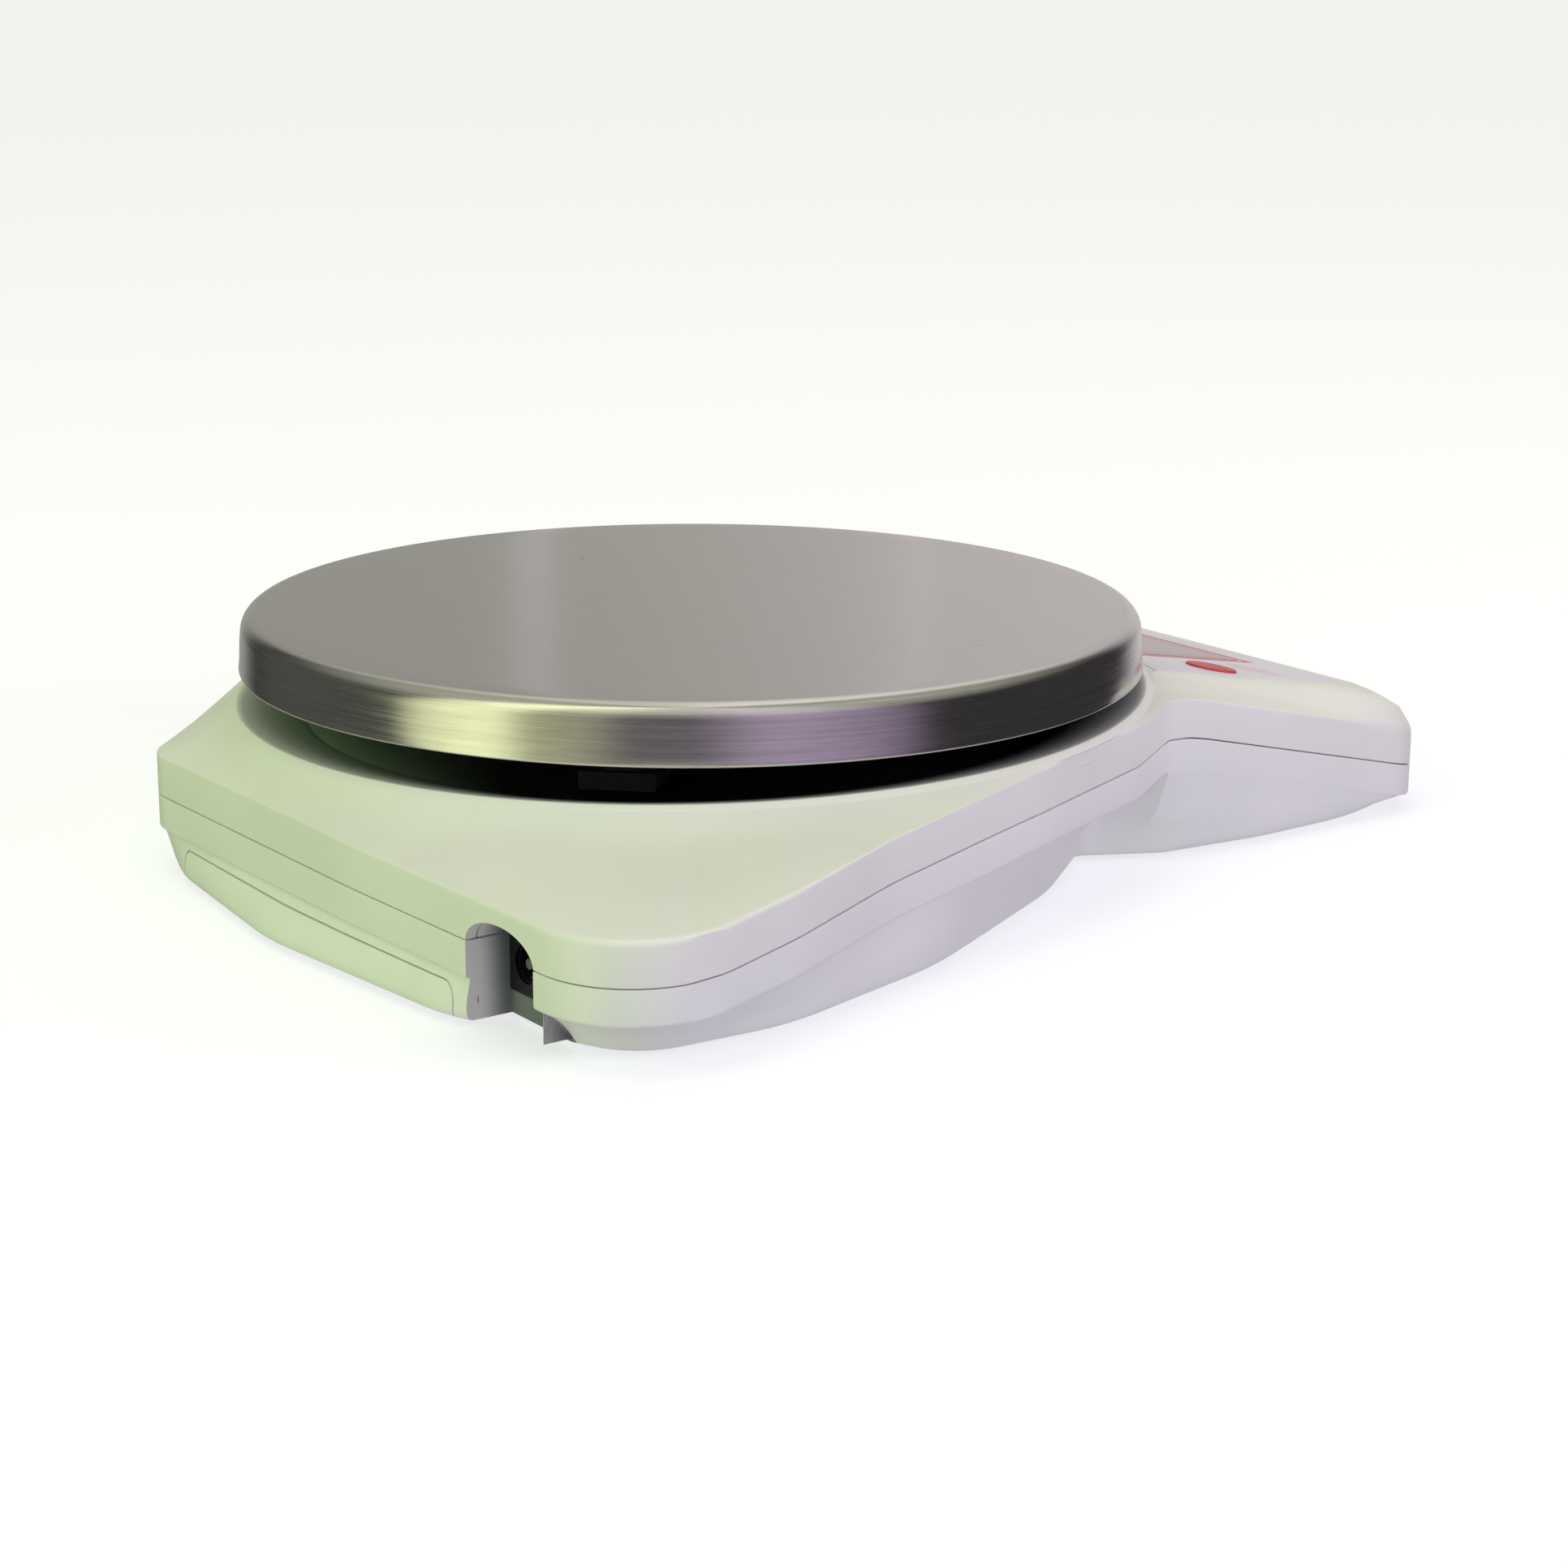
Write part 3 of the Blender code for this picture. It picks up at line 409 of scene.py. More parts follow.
def moulded_plastic(name, light, dark, roughness=0.36):
    """Satin moulded plastic: slow colour drift, fine spark-eroded grain, faint handling marks, and painted
    shade darkening the walls inside the socket niche.
    """
    material, nodes, shader, place = new_material(name)
    drift = nodes.noise(place, 22.0, 3.0)
    speckle = nodes.noise(place, 900.0, 2.0)
    marks = nodes.noise(nodes.scaled(place, (1.0, 1.0, 2.5)), 60.0, 6.0, 0.62, 0.6)
    tone = nodes.math("ADD", nodes.math("MULTIPLY", drift, 0.8), nodes.math("MULTIPLY", speckle, 0.2))
    color = nodes.mix(nodes.remap(tone, 0.35, 0.65, 0.0, 1.0), dark, light)
    grime = nodes.remap(marks, 0.62, 0.82, 0.0, 0.10)
    color = nodes.mix(grime, color, rgb(*(0.55 * c for c in dark[:3])))
    # Painted shade: inside the socket niche the walls are darkened by position towards the back, standing in
    # for the shadow deep in the niche.
    parts = nodes.add("ShaderNodeSeparateXYZ", {0: place})
    aside = nodes.math("ABSOLUTE", nodes.math("SUBTRACT", parts.outputs[0], AXIS.x + NICHE_MIDDLE))
    niche_painted_shade = nodes.math("LESS_THAN", aside, NICHE_HALF + 0.00005)
    niche_painted_shade = nodes.math("MULTIPLY", niche_painted_shade, nodes.remap(
        parts.outputs[1], AXIS.y + 0.0940, AXIS.y + 0.1005, 1.0, 0.0, "SMOOTHSTEP"))
    niche_painted_shade = nodes.math("MULTIPLY", niche_painted_shade, nodes.math("GREATER_THAN", parts.outputs[1], AXIS.y + 0.093))
    niche_painted_shade = nodes.math("MULTIPLY", niche_painted_shade, nodes.math("LESS_THAN", parts.outputs[2], 0.0224))
    color = nodes.mix(niche_painted_shade, color, rgb(0.17, 0.185, 0.18))
    rough = nodes.remap(marks, 0.35, 0.70, roughness - 0.05, roughness + 0.07)
    height = nodes.math("ADD", nodes.noise(place, 1900.0, 2.0), nodes.math("MULTIPLY", speckle, 0.6))
    normal = nodes.bump(height, 0.10, 0.00008)
    connect(nodes, shader, Base_Color=color, Roughness=rough, Normal=normal)
    return material


def brushed_metal(name, color, roughness, along, spread=0.05, tint=0.25):
    """Brushed metal: long thin streaks in one direction, with a few smudges."""
    material, nodes, shader, place = new_material(name, Metallic=1.0)
    if along == "round":
        parts = nodes.add("ShaderNodeSeparateXYZ", {0: place})
        offset_x = nodes.math("SUBTRACT", parts.outputs[0], AXIS.x)
        offset_y = nodes.math("SUBTRACT", parts.outputs[1], AXIS.y)
        turn = nodes.math("ARCTAN2", offset_y, offset_x)

        def wrapped(around, upwards):
            """Texture coordinates round the axis and up it, each with its own scale."""
            x, z = nodes.math("MULTIPLY", turn, around), nodes.math("MULTIPLY", parts.outputs[2], upwards)
            return nodes.add("ShaderNodeCombineXYZ", {0: x, 1: 0.0, 2: z}).outputs[0]

        streak_at = wrapped(1.3, 2600.0)
        broad_at = wrapped(6.0, 500.0)
        streak = nodes.noise(streak_at, 1.0, 4.0, 0.6)
        broad = nodes.noise(broad_at, 1.0, 3.0, 0.6)
    else:
        streak = nodes.noise(nodes.scaled(place, along), 1.0, 4.0, 0.6)
        broad = nodes.noise(nodes.scaled(place, tuple(0.2 * c for c in along)), 1.0, 3.0, 0.6)
    smudge = nodes.noise(place, 18.0, 5.0, 0.6, 0.8)
    level = nodes.math("ADD", nodes.math("MULTIPLY", streak, 0.65), nodes.math("MULTIPLY", broad, 0.35))
    dark = rgb(*((1 - tint) * c for c in color))
    tone = nodes.mix(nodes.remap(level, 0.32, 0.68, 0.0, 1.0), dark, rgb(*color))
    rough = nodes.remap(level, 0.3, 0.7, roughness - spread, roughness + spread)
    rough = nodes.math("ADD", rough, nodes.remap(smudge, 0.45, 0.75, 0.0, spread))
    normal = nodes.bump(streak, 0.08, 0.00006)
    connect(nodes, shader, Base_Color=tone, Roughness=rough, Normal=normal)
    return material


def dark_polymer(name, color, roughness, scale=400.0, strength=0.3):
    material, nodes, shader, place = new_material(name)
    cells = nodes.noise(place, scale, 4.0, 0.6)
    slow = nodes.noise(place, 35.0, 3.0)
    tone = nodes.mix(nodes.remap(slow, 0.3, 0.7, 0.0, 1.0), rgb(*(0.7 * c for c in color)), rgb(*color))
    rough = nodes.remap(cells, 0.3, 0.7, roughness - 0.07, roughness + 0.07)
    connect(nodes, shader, Base_Color=tone, Roughness=rough, Normal=nodes.bump(cells, strength, 0.0001))
    return material


IVORY_LIGHT = rgb(0.83, 0.82, 0.76)
IVORY_DARK = rgb(0.79, 0.78, 0.71)
COVER_MAT = moulded_plastic("Ivory cover", IVORY_LIGHT, IVORY_DARK)
SHELL_MAT = moulded_plastic("Ivory shell", rgb(0.82, 0.82, 0.77), rgb(0.78, 0.78, 0.73), 0.38)
DOOR_MAT = moulded_plastic("Ivory door", rgb(0.82, 0.83, 0.77), rgb(0.78, 0.79, 0.73), 0.38)


def wear(material):
    """Light wear on the platter's top: one small pit, and a patch of faint flecks and rubs."""
    nodes = Nodes(material.node_tree)
    shader = material.node_tree.nodes["Principled BSDF"]
    place = nodes.add("ShaderNodeTexCoord").outputs["Object"]
    under = shader.inputs["Base Color"].links[0].from_socket
    pit_at = axis_point(0.0532, -0.0062, PLATTER_TOP)
    away = nodes.add(
        "ShaderNodeVectorMath", {0: place, 1: tuple(pit_at)}, operation="DISTANCE").outputs["Value"]
    color = nodes.mix(nodes.remap(away, 0.00030, 0.00055, 1.0, 0.0), under, rgb(0.02, 0.02, 0.02))
    patch_at = axis_point(-0.066, -0.016, PLATTER_TOP)
    away = nodes.add(
        "ShaderNodeVectorMath", {0: place, 1: tuple(patch_at)}, operation="DISTANCE").outputs["Value"]
    patch = nodes.remap(away, 0.010, 0.034, 1.0, 0.0, "SMOOTHSTEP")
    flecks = nodes.noise(nodes.scaled(place, (1.0, 2.4, 1.0)), 420.0, 3.0, 0.6, 0.4)
    flecks = nodes.math("MULTIPLY", nodes.remap(flecks, 0.60, 0.66, 0.0, 0.22), patch)
    color = nodes.mix(flecks, color, rgb(0.20, 0.20, 0.18))
    rubs = nodes.noise(nodes.scaled(place, (0.6, 5.0, 1.0)), 160.0, 2.0, 0.5)
    rubs = nodes.remap(rubs, 0.68, 0.74, 0.0, 0.10)
    color = nodes.mix(rubs, color, rgb(0.36, 0.36, 0.34))
    connect(nodes, shader, Base_Color=color)
    return material


TOP_STEEL = brushed_metal(
    "Brushed steel top", (0.61, 0.60, 0.575), 0.12, (9.0, 520.0, 9.0), tint=0.045, spread=0.015)
wear(TOP_STEEL)
SKIRT_STEEL = brushed_metal("Brushed steel skirt", (0.76, 0.74, 0.73), 0.165, "round", tint=0.34)
PLATED = brushed_metal("Plated steel", (0.62, 0.61, 0.59), 0.34, (90.0, 900.0, 90.0), tint=0.15)
MILLED = brushed_metal("Milled aluminium", (0.74, 0.75, 0.76), 0.36, (900.0, 25.0, 900.0), tint=0.12)
NICKEL = brushed_metal("Nickel contact", (0.70, 0.67, 0.60), 0.28, (60.0, 700.0, 60.0), tint=0.12)
CARRIER = dark_polymer("Glass filled plastic", (0.008, 0.008, 0.009), 0.72)
RUBBER = dark_polymer("Soft rubber", (0.022, 0.022, 0.022), 0.82, 700.0, 0.5)
JACK = dark_polymer("Socket plastic", (0.010, 0.010, 0.011), 0.34, 500.0, 0.15)
BLACK = dark_polymer("Black plastic", (0.028, 0.028, 0.030), 0.48)
WIRE = dark_polymer("Cable sheath", (0.22, 0.22, 0.23), 0.55, 900.0, 0.3)


def recess_painted_shade_material():
    """The sunken floor below the platter, in painted light and shade: pale at the lip, dark inwards where the
    platter's shadow falls, greener towards the back where the green light falls.
    """
    material, nodes, shader, place = new_material("Recess painted shade", Specular_IOR_Level=0.08)
    parts = nodes.add("ShaderNodeSeparateXYZ", {0: place})
    mist = nodes.noise(place, 90.0, 3.0)
    height = nodes.math("ADD", parts.outputs[2], nodes.math("MULTIPLY", mist, 0.0004))
    axis_at = (AXIS.x, AXIS.y, 0.0)
    level = nodes.scaled(place, (1.0, 1.0, 0.0))
    radius = nodes.add(
        "ShaderNodeVectorMath", {0: level, 1: axis_at}, operation="DISTANCE").outputs["Value"]
    radius = nodes.math("ADD", radius, nodes.math("MULTIPLY", height, 0.05))
    # Painted shade: from near black inwards to pale at the lip, standing in for the platter's shadow on the
    # floor.
    share = nodes.remap(radius, 0.0845, 0.0955, 0.0, 1.0, "SMOOTHSTEP")
    # Painted light: the floor turns grey-green towards the back, standing in for the green light that reaches
    # it there.
    rear_painted_light = nodes.add(
        "ShaderNodeVectorMath", {0: place, 1: (0.568, 0.782, 0.0)}, operation="DOT_PRODUCT").outputs["Value"]
    start = 0.568 * AXIS.x + 0.782 * AXIS.y
    rear_painted_light = nodes.remap(rear_painted_light, start + 0.030, start + 0.090, 0.0, 1.0, "SMOOTHSTEP")
    shaded_floor_color = nodes.mix(rear_painted_light, rgb(0.0035, 0.004, 0.0038), rgb(0.46, 0.51, 0.42))
    color = nodes.mix(share, shaded_floor_color, rgb(0.60, 0.61, 0.58))
    grain = nodes.noise(place, 700.0, 3.0)
    rough = nodes.remap(grain, 0.3, 0.7, 0.52, 0.66)
    connect(nodes, shader, Base_Color=color, Roughness=rough, Normal=nodes.bump(grain, 0.12, 0.00008))
    return material


RECESS_PAINTED_SHADE_MAT = recess_painted_shade_material()


# ---- upper cover ----
def cover_rings():
    foot = LIP_R + 0.0026
    lip = 0.03525 + 0.0237 * np.cos(ANGLES) * LIP_R
    crease = crease_z(SIDE_Y)
    bottom = crease - COVER_SIDE + GAP / 2
    wall = WALL * SIDE_STRETCH
    edge = np.where(ON_CONSOLE, np.clip(PANEL_R, foot + 0.0005, SIDE - 0.0008), foot + 0.5 * (SIDE - foot))
    foot_x, foot_y = -np.sin(ANGLES) * foot, -np.cos(ANGLES) * foot
    foot_z = np.where(ON_CONSOLE, np.minimum(console_top(foot_x, foot_y), lip - 0.0008), lip - 0.0011)

    nose = smooth(-SIDE_Y, 0.118, 0.150)

    def top_point(radius):
        """Height of the cover's top at these radii."""
        u = (radius - foot) / (SIDE - foot)
        fall = 0.5 * (1 - u) + 0.5 * np.exp(-(radius - foot) / 0.0070) * (1 - u)
        body = crease + (foot_z - crease) * fall
        console = console_top(-np.sin(ANGLES) * radius, -np.cos(ANGLES) * radius)
        beyond = np.clip((radius - edge) / np.maximum(SIDE - edge, 1e-6), 0, 1)
        edge_z = console_top(-np.sin(ANGLES) * edge, -np.cos(ANGLES) * edge)
        swell = beyond + (1 - np.sqrt(np.maximum(0.0, 1 - beyond**2)) - beyond) * (0.90 * nose)
        console = np.where(beyond > 0, edge_z + (crease - edge_z) * swell, console)
        return np.where(ON_CONSOLE, np.minimum(console, lip - 0.0008), body)

    points = [rz(SIDE, bottom), rz(SIDE, crease)]
    radii = [0.00012, np.where(ON_CONSOLE, 0.0010 + 0.0050 * nose, 0.0022)[:, None]]
    for share in (0.90, 0.75, 0.5, 0.25, 0.0):
        radius = edge + (SIDE - edge) * share
        points.append(rz(radius, top_point(radius)))
        radii.append(0.004 if share == 0.0 else 0.0)
    for share in (0.75, 0.5, 0.3, 0.12):
        radius = foot + (edge - foot) * share
        points.append(rz(radius, top_point(radius)))
        radii.append(0.0)
    points += [
        rz(foot, foot_z), rz(LIP_R + 0.0012, lip), rz(LIP_R - 0.0002, lip - 0.0003),
        rz(LEDGE_R, np.maximum(lip - 0.0030, RECESS_Z + 0.0004)), rz(LEDGE_R - 0.0012, RECESS_Z),
        rz(RECESS_HOLE_R, RECESS_Z), rz(RECESS_HOLE_R, RECESS_Z - WALL), rz(LIP_R - 0.002, RECESS_Z - WALL),
        rz(foot - 0.001, np.minimum(foot_z, crease + 0.004) - WALL - 0.0010),
        rz(np.maximum(SIDE - wall, foot - 0.0005), crease - WALL - 0.0003), rz(SIDE - wall, bottom),
    ]
    radii += [0.0012, 0.0006, 0.0006, 0.0012, 0.0010, 0.0005, 0.0003, 0.0, 0.0, 0.0, 0.0]
    return filleted(points, radii, 4, True)


NICHE_X = (-0.1007, -0.0790)
NICHE_Y = 0.0933
NICHE_TOP = 0.0219
BACK_Y = 0.1015
JACK_X = -0.0845
JACK_Z = 0.0118
PARTING_BACK = float(crease_z(BACK_Y)) - COVER_SIDE
DOOR_X = (-0.076, 0.031)
DOOR_Y = 0.064
DOOR_TOP = 0.0077


def placed_cube(low, high):
    return cube_bm(axis_point(*low), axis_point(*high))


def niche_bm(lift=0.0):
    """The socket niche as one prism with a half-ellipse for its top."""
    half = (NICHE_X[1] - NICHE_X[0]) / 2
    middle = (NICHE_X[1] + NICHE_X[0]) / 2
    rise = NICHE_TOP - PARTING_BACK
    outline = [(middle + half * cos(a), PARTING_BACK + rise * sin(a)) for a in np.linspace(0, pi, 41)]
    outline += [(middle - half, -0.004), (middle + half, -0.004)]
    bm = prism_bm(outline, 0.04)
    stand = Matrix.Translation(axis_point(0, NICHE_Y + lift + 0.04)) @ Matrix.Rotation(pi / 2, 4, "X")
    bmesh.ops.transform(bm, verts=bm.verts, matrix=stand)
    return bm


upper_cover = swept("cover_moulding", cover_rings(), True, COVER_MAT)
block_low = (NICHE_X[0] - 0.0021, NICHE_Y - WALL, PARTING_BACK + GAP / 2)
block_high = (NICHE_X[1] + 0.0017, BACK_Y - 0.0013, 0.0249)
apply_boolean(upper_cover, placed_cube(block_low, block_high), "UNION")
apply_boolean(upper_cover, niche_bm(), "DIFFERENCE")
# The faces inside the lip take the recess material, whose colour is painted shade and painted light.
upper_cover.data.materials.append(RECESS_PAINTED_SHADE_MAT)
for face in upper_cover.data.polygons:
    centre = face.center
    radius = (Vector((centre.x, centre.y)) - Vector((AXIS.x, AXIS.y))).length
    if radius < LIP_R + 0.0002 and centre.z > RECESS_Z - WALL - 0.0001:
        face.material_index = 1
finish_smooth(upper_cover)
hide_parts("upper_cover")
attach(upper_cover, "case")


# ---- lower shell and battery door ----
def shell_rings():
    crease = crease_z(SIDE_Y)
    parting = crease - COVER_SIDE
    flange = np.maximum(parting - FLANGE, BASE_Z + 0.0022)
    base_wall = WALL * BASE_STRETCH
    hull_top = np.minimum(SIDE - 0.0009 * SIDE_STRETCH, 0.35 * SIDE + 0.65 * BASE_R + 0.003)
    hull_top = np.where(ON_CONSOLE, SIDE - 0.00004, hull_top)
    lift = 0.0040 * smooth(-SIDE_Y, 0.118, 0.150) ** 2
    belly_z = BASE_Z + 0.45 * (flange - BASE_Z) + 0.5 * lift
    belly = hull_top + np.where(ON_CONSOLE, 0.22, 0.72) * (BASE_R - hull_top)
    top = parting - GAP / 2
    tongue_out = SIDE - 0.0025 * SIDE_STRETCH
    tongue_in = tongue_out - 0.0012 * SIDE_STRETCH
    points = [
        rz(BASE_R - 0.0060, BASE_Z), rz(BASE_R - 0.0004, BASE_Z + lift), rz(belly, belly_z),
        rz(hull_top, flange), rz(SIDE, flange), rz(SIDE, top), rz(tongue_out, top),
        rz(tongue_out, parting + 0.0013), rz(tongue_in, parting + 0.0013),
        rz(np.minimum(tongue_in, hull_top - base_wall), np.maximum(flange, FLOOR_Z + 0.0016)),
        rz(belly - base_wall, np.maximum(belly_z, FLOOR_Z + 0.001)),
        rz(BASE_R - base_wall - 0.0008, FLOOR_Z),
    ]
    soft = np.where(ON_CONSOLE, 0.02, 0.0005)[:, None]
    foot = np.where(ON_CONSOLE, 0.0045, 0.0022)[:, None]
    radii = [0.0, foot, 0.012, soft, soft + 0.0004, 0.00012] + [0.0] * 6
    return filleted(points, radii, 4, False)


def door_prism(shrink):
    """The door's limits: rounded at the upper corner next to the niche, seen along Y."""
    low_x, high_x, top = DOOR_X[0] + shrink, DOOR_X[1] - shrink, DOOR_TOP - shrink
    radius = 0.0042 - shrink
    outline = [(low_x, -0.004)]
    outline += [
        (low_x + radius - radius * cos(a), top - radius + radius * sin(a)) for a in np.linspace(0, pi / 2, 9)
    ]
    outline += [(high_x - 0.0008, top), (high_x, top - 0.0008), (high_x, -0.004)]
    bm = prism_bm(outline[::-1], 0.08)
    stand = Matrix.Translation(axis_point(0, DOOR_Y + shrink + 0.08)) @ Matrix.Rotation(pi / 2, 4, "X")
    bmesh.ops.transform(bm, verts=bm.verts, matrix=stand)
    return bm


def drum_bm(radius, low_z, high_z, x, y, steps=48):
    bm = bmesh.new()
    bmesh.ops.create_cone(
        bm, cap_ends=True, segments=steps, radius1=radius, radius2=radius, depth=high_z - low_z,
        matrix=Matrix.Translation(axis_point(x, y, (low_z + high_z) / 2)),
    )
    return bm


CASE_SCREWS = [(-0.058, -0.040), (0.058, -0.040), (-0.072, 0.046), (0.062, 0.050)]
CELL_SCREWS = [(0.0, 0.028), (0.0, 0.036)]
FEET = [(-0.056, -0.126), (0.056, -0.126), (-0.096, 0.070), (0.072, 0.056)]

lower_shell = swept("shell_moulding", shell_rings(), False, SHELL_MAT)
battery_door = bpy.data.objects.new("door_moulding", lower_shell.data.copy())
bpy.context.scene.collection.objects.link(battery_door)
battery_door.data.materials.clear()
battery_door.data.materials.append(DOOR_MAT)
apply_boolean(battery_door, door_prism(GAP), "INTERSECT")
lower_block_high = (block_high[0], block_high[1], PARTING_BACK - GAP / 2)
WALL_TURN = PARTING_BACK - FLANGE + 0.0004   # where the niche's lower walls meet the upper one
WALL_OVERLAP = 0.0005
for low, high in (
    ((block_low[0], block_low[1], WALL_TURN), lower_block_high),
    (
        (NICHE_X[0], block_low[1], FLOOR_Z - 0.001),
        (block_high[0], block_high[1], WALL_TURN + WALL_OVERLAP),
    ),
    (
        (NICHE_X[0] - 0.0009, block_low[1], FLOOR_Z - 0.001),
        (NICHE_X[0] + 0.001, NICHE_Y - 0.0006, WALL_TURN + WALL_OVERLAP),
    ),
):
    apply_boolean(lower_shell, placed_cube(low, high), "UNION")
apply_boolean(lower_shell, niche_bm(), "DIFFERENCE")
tongue_low = (block_low[0] - GAP, 0.0900, PARTING_BACK - GAP / 2 - 0.00005)
tongue_high = (block_high[0] + GAP, 0.1012, PARTING_BACK + 0.003)
window_low = (JACK_X - 0.0048, 0.085, 0.0069)
window_high = (JACK_X + 0.0048, 0.0985, 0.0161)
holes = [placed_cube(window_low, window_high), placed_cube(tongue_low, tongue_high), door_prism(0.0)]
holes += [drum_bm(0.0034, -0.001, 0.0030, x, y) for x, y in CASE_SCREWS + CELL_SCREWS]
holes += [drum_bm(0.0063, -0.001, BASE_Z + 0.0010, x, y) for x, y in FEET]
apply_boolean(lower_shell, joined(holes), "DIFFERENCE")
for piece, node, body, slot in (
    (lower_shell, "lower_shell", "case", "shell"),
    (battery_door, "battery_door", "battery_door", "door"),
):
    finish_smooth(piece)
    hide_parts(node)
    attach(piece, body)


# ---- platter ----
def arc(centre_r, centre_z, radius, start, end, steps):
    return [
        (centre_r + radius * cos(a), centre_z + radius * sin(a))
        for a in np.linspace(radians(start), radians(end), steps)
    ]


def platter_profile():
    """From the middle of the top, over the rim, down the skirt, round the rolled edge and back inside."""
    top, low, r = PLATTER_TOP, SKIRT_BOTTOM, PLATTER_R
    rim = 0.0038
    outer = [(x, top) for x in (0.012, 0.040, 0.070, 0.085)]
    outer += arc(r - 0.0006 - rim, top - rim, rim, 90, 3, 14)
    outer += [(r - 0.0004, top - 0.0055), (r - 0.0002, low + 0.0022)]
    outer += arc(r - 0.0006, low + 0.0006, 0.0006, 0, -180, 9)
    inner = [(r - 0.0013, low + 0.0020), (r - SHEET - 0.0003, top - 0.0055)]
    inner += arc(r - 0.0006 - rim, top - rim, rim - SHEET, 3, 90, 8)
    inner += [(x, top - SHEET) for x in (0.085, 0.040, 0.012)]
    return outer, inner


def turned(name, outer, inner, steps, material, skirt_material=None):
    profile = outer + inner
    rows = np.array(profile)
    angles = np.arange(steps) / steps * tau
    verts = [
        (AXIS.x + r * cos(a), AXIS.y + r * sin(a), z) for r, z in rows for a in angles
    ]
    verts += [(AXIS.x, AXIS.y, outer[0][1]), (AXIS.x, AXIS.y, inner[-1][1])]
    faces = []
    for i in range(len(rows) - 1):
        for k in range(steps):
            j = (k + 1) % steps
            faces.append((i * steps + k, i * steps + j, (i + 1) * steps + j, (i + 1) * steps + k))
    last = (len(rows) - 1) * steps
    for k in range(steps):
        j = (k + 1) % steps
        faces.append((k, len(verts) - 2, j))
        faces.append((last + j, len(verts) - 1, last + k))
    obj = mesh_object(name, verts, faces, material)
    if skirt_material:
        obj.data.materials.append(skirt_material)
        for face in obj.data.polygons:
            if abs(face.normal.z) < 0.75:
                face.material_index = 1
    return obj


platter = turned("platter_pan", *platter_profile(), 288, TOP_STEEL, SKIRT_STEEL)
finish_smooth(platter, 40)
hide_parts("platter")
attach(platter, "platter")

# ---- console: label, window and keys ----
PANEL_TILT = atan(CONSOLE_SLOPE)
PANEL_FRAME = Matrix.Translation(axis_point(0, PANEL_Y, float(panel_z(PANEL_Y)))) @ Matrix.Rotation(
    PANEL_TILT, 4, "X")


def label_material():
    """Pale film with a printed frame round the window and a soft tinted field under each key."""
    material, nodes, shader, place = new_material("Overlay film")
    local = nodes.add("ShaderNodeTexCoord").outputs["Generated"]
    parts = nodes.add("ShaderNodeSeparateXYZ", {0: place})
    off_x = nodes.math("ABSOLUTE", nodes.math("SUBTRACT", parts.outputs[0], AXIS.x))
    off_y = nodes.math("ABSOLUTE", nodes.math("SUBTRACT", parts.outputs[1], AXIS.y + PANEL_Y))
    edge = nodes.math("MAXIMUM", nodes.math("SUBTRACT", off_x, 0.0282), nodes.math("SUBTRACT", off_y, 0.0162))
    frame_band = nodes.math(
        "MULTIPLY", nodes.math("GREATER_THAN", edge, 0.0), nodes.math("LESS_THAN", edge, 0.0016))
    drift = nodes.noise(place, 45.0, 3.0)
    paper = nodes.mix(nodes.remap(drift, 0.35, 0.65, 0.0, 1.0), rgb(0.75, 0.73, 0.82), rgb(0.80, 0.78, 0.86))
    color = nodes.mix(frame_band, paper, rgb(0.60, 0.05, 0.06))
    key_x = nodes.math("DIVIDE", nodes.math("SUBTRACT", off_x, 0.0415), 0.0075)
    key_y = nodes.math("DIVIDE", nodes.math("SUBTRACT", parts.outputs[1], AXIS.y + PANEL_Y - 0.0060), 0.0042)
    ring = nodes.math("ADD", nodes.math("POWER", key_x, 2.0), nodes.math("POWER", key_y, 2.0))
    strokes = nodes.math("SINE", nodes.math("MULTIPLY", parts.outputs[1], 2600.0))
    marks = nodes.math(
        "MULTIPLY", nodes.math("LESS_THAN", ring, 1.0), nodes.remap(strokes, -0.3, 0.5, 0.0, 0.55))
    color = nodes.mix(marks, color, rgb(0.80, 0.26, 0.30))
    fine = nodes.noise(local, 260.0, 3.0)
    rough = nodes.remap(fine, 0.3, 0.7, 0.30, 0.42)
    connect(nodes, shader, Base_Color=color, Roughness=rough, Normal=nodes.bump(fine, 0.08, 0.00005))
    return material


def label_outline():
    """Straight front and sides with round corners; the back follows the lip round the platter."""
    back_r = 0.0992
    half, front = 0.0530, 0.1445
    start = np.arcsin(half / back_r)
    points = [(back_r * sin(a), -back_r * cos(a)) for a in np.linspace(-start, start, 41)]
    corner = 0.0070
    for middle, first, last in ((half - corner, 0, -pi / 2), (-half + corner, -pi / 2, -pi)):
        points += [
            (middle + corner * cos(a), -front + corner + corner * sin(a)) for a in np.linspace(first, last, 9)
        ]
    return points


def plate_on_panel(name, outline, low, high, material):
    """A flat plate on the sloping panel. The outline is in plan; the plate follows the panel's plane."""
    bm = prism_bm(outline, 1.0)
    slope = 1.0 / cos(PANEL_TILT)
    for vert in bm.verts:
        lift = (high if vert.co.z > 0.5 else low) * slope
        x, y = vert.co.x, vert.co.y
        vert.co = axis_point(x, y, float(panel_z(y)) + lift)
    return solid(name, bm, material)


label = plate_on_panel("overlay_film", label_outline(), -0.0004, 0.00012, label_material())
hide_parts("overlay_label")
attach(label, "case")


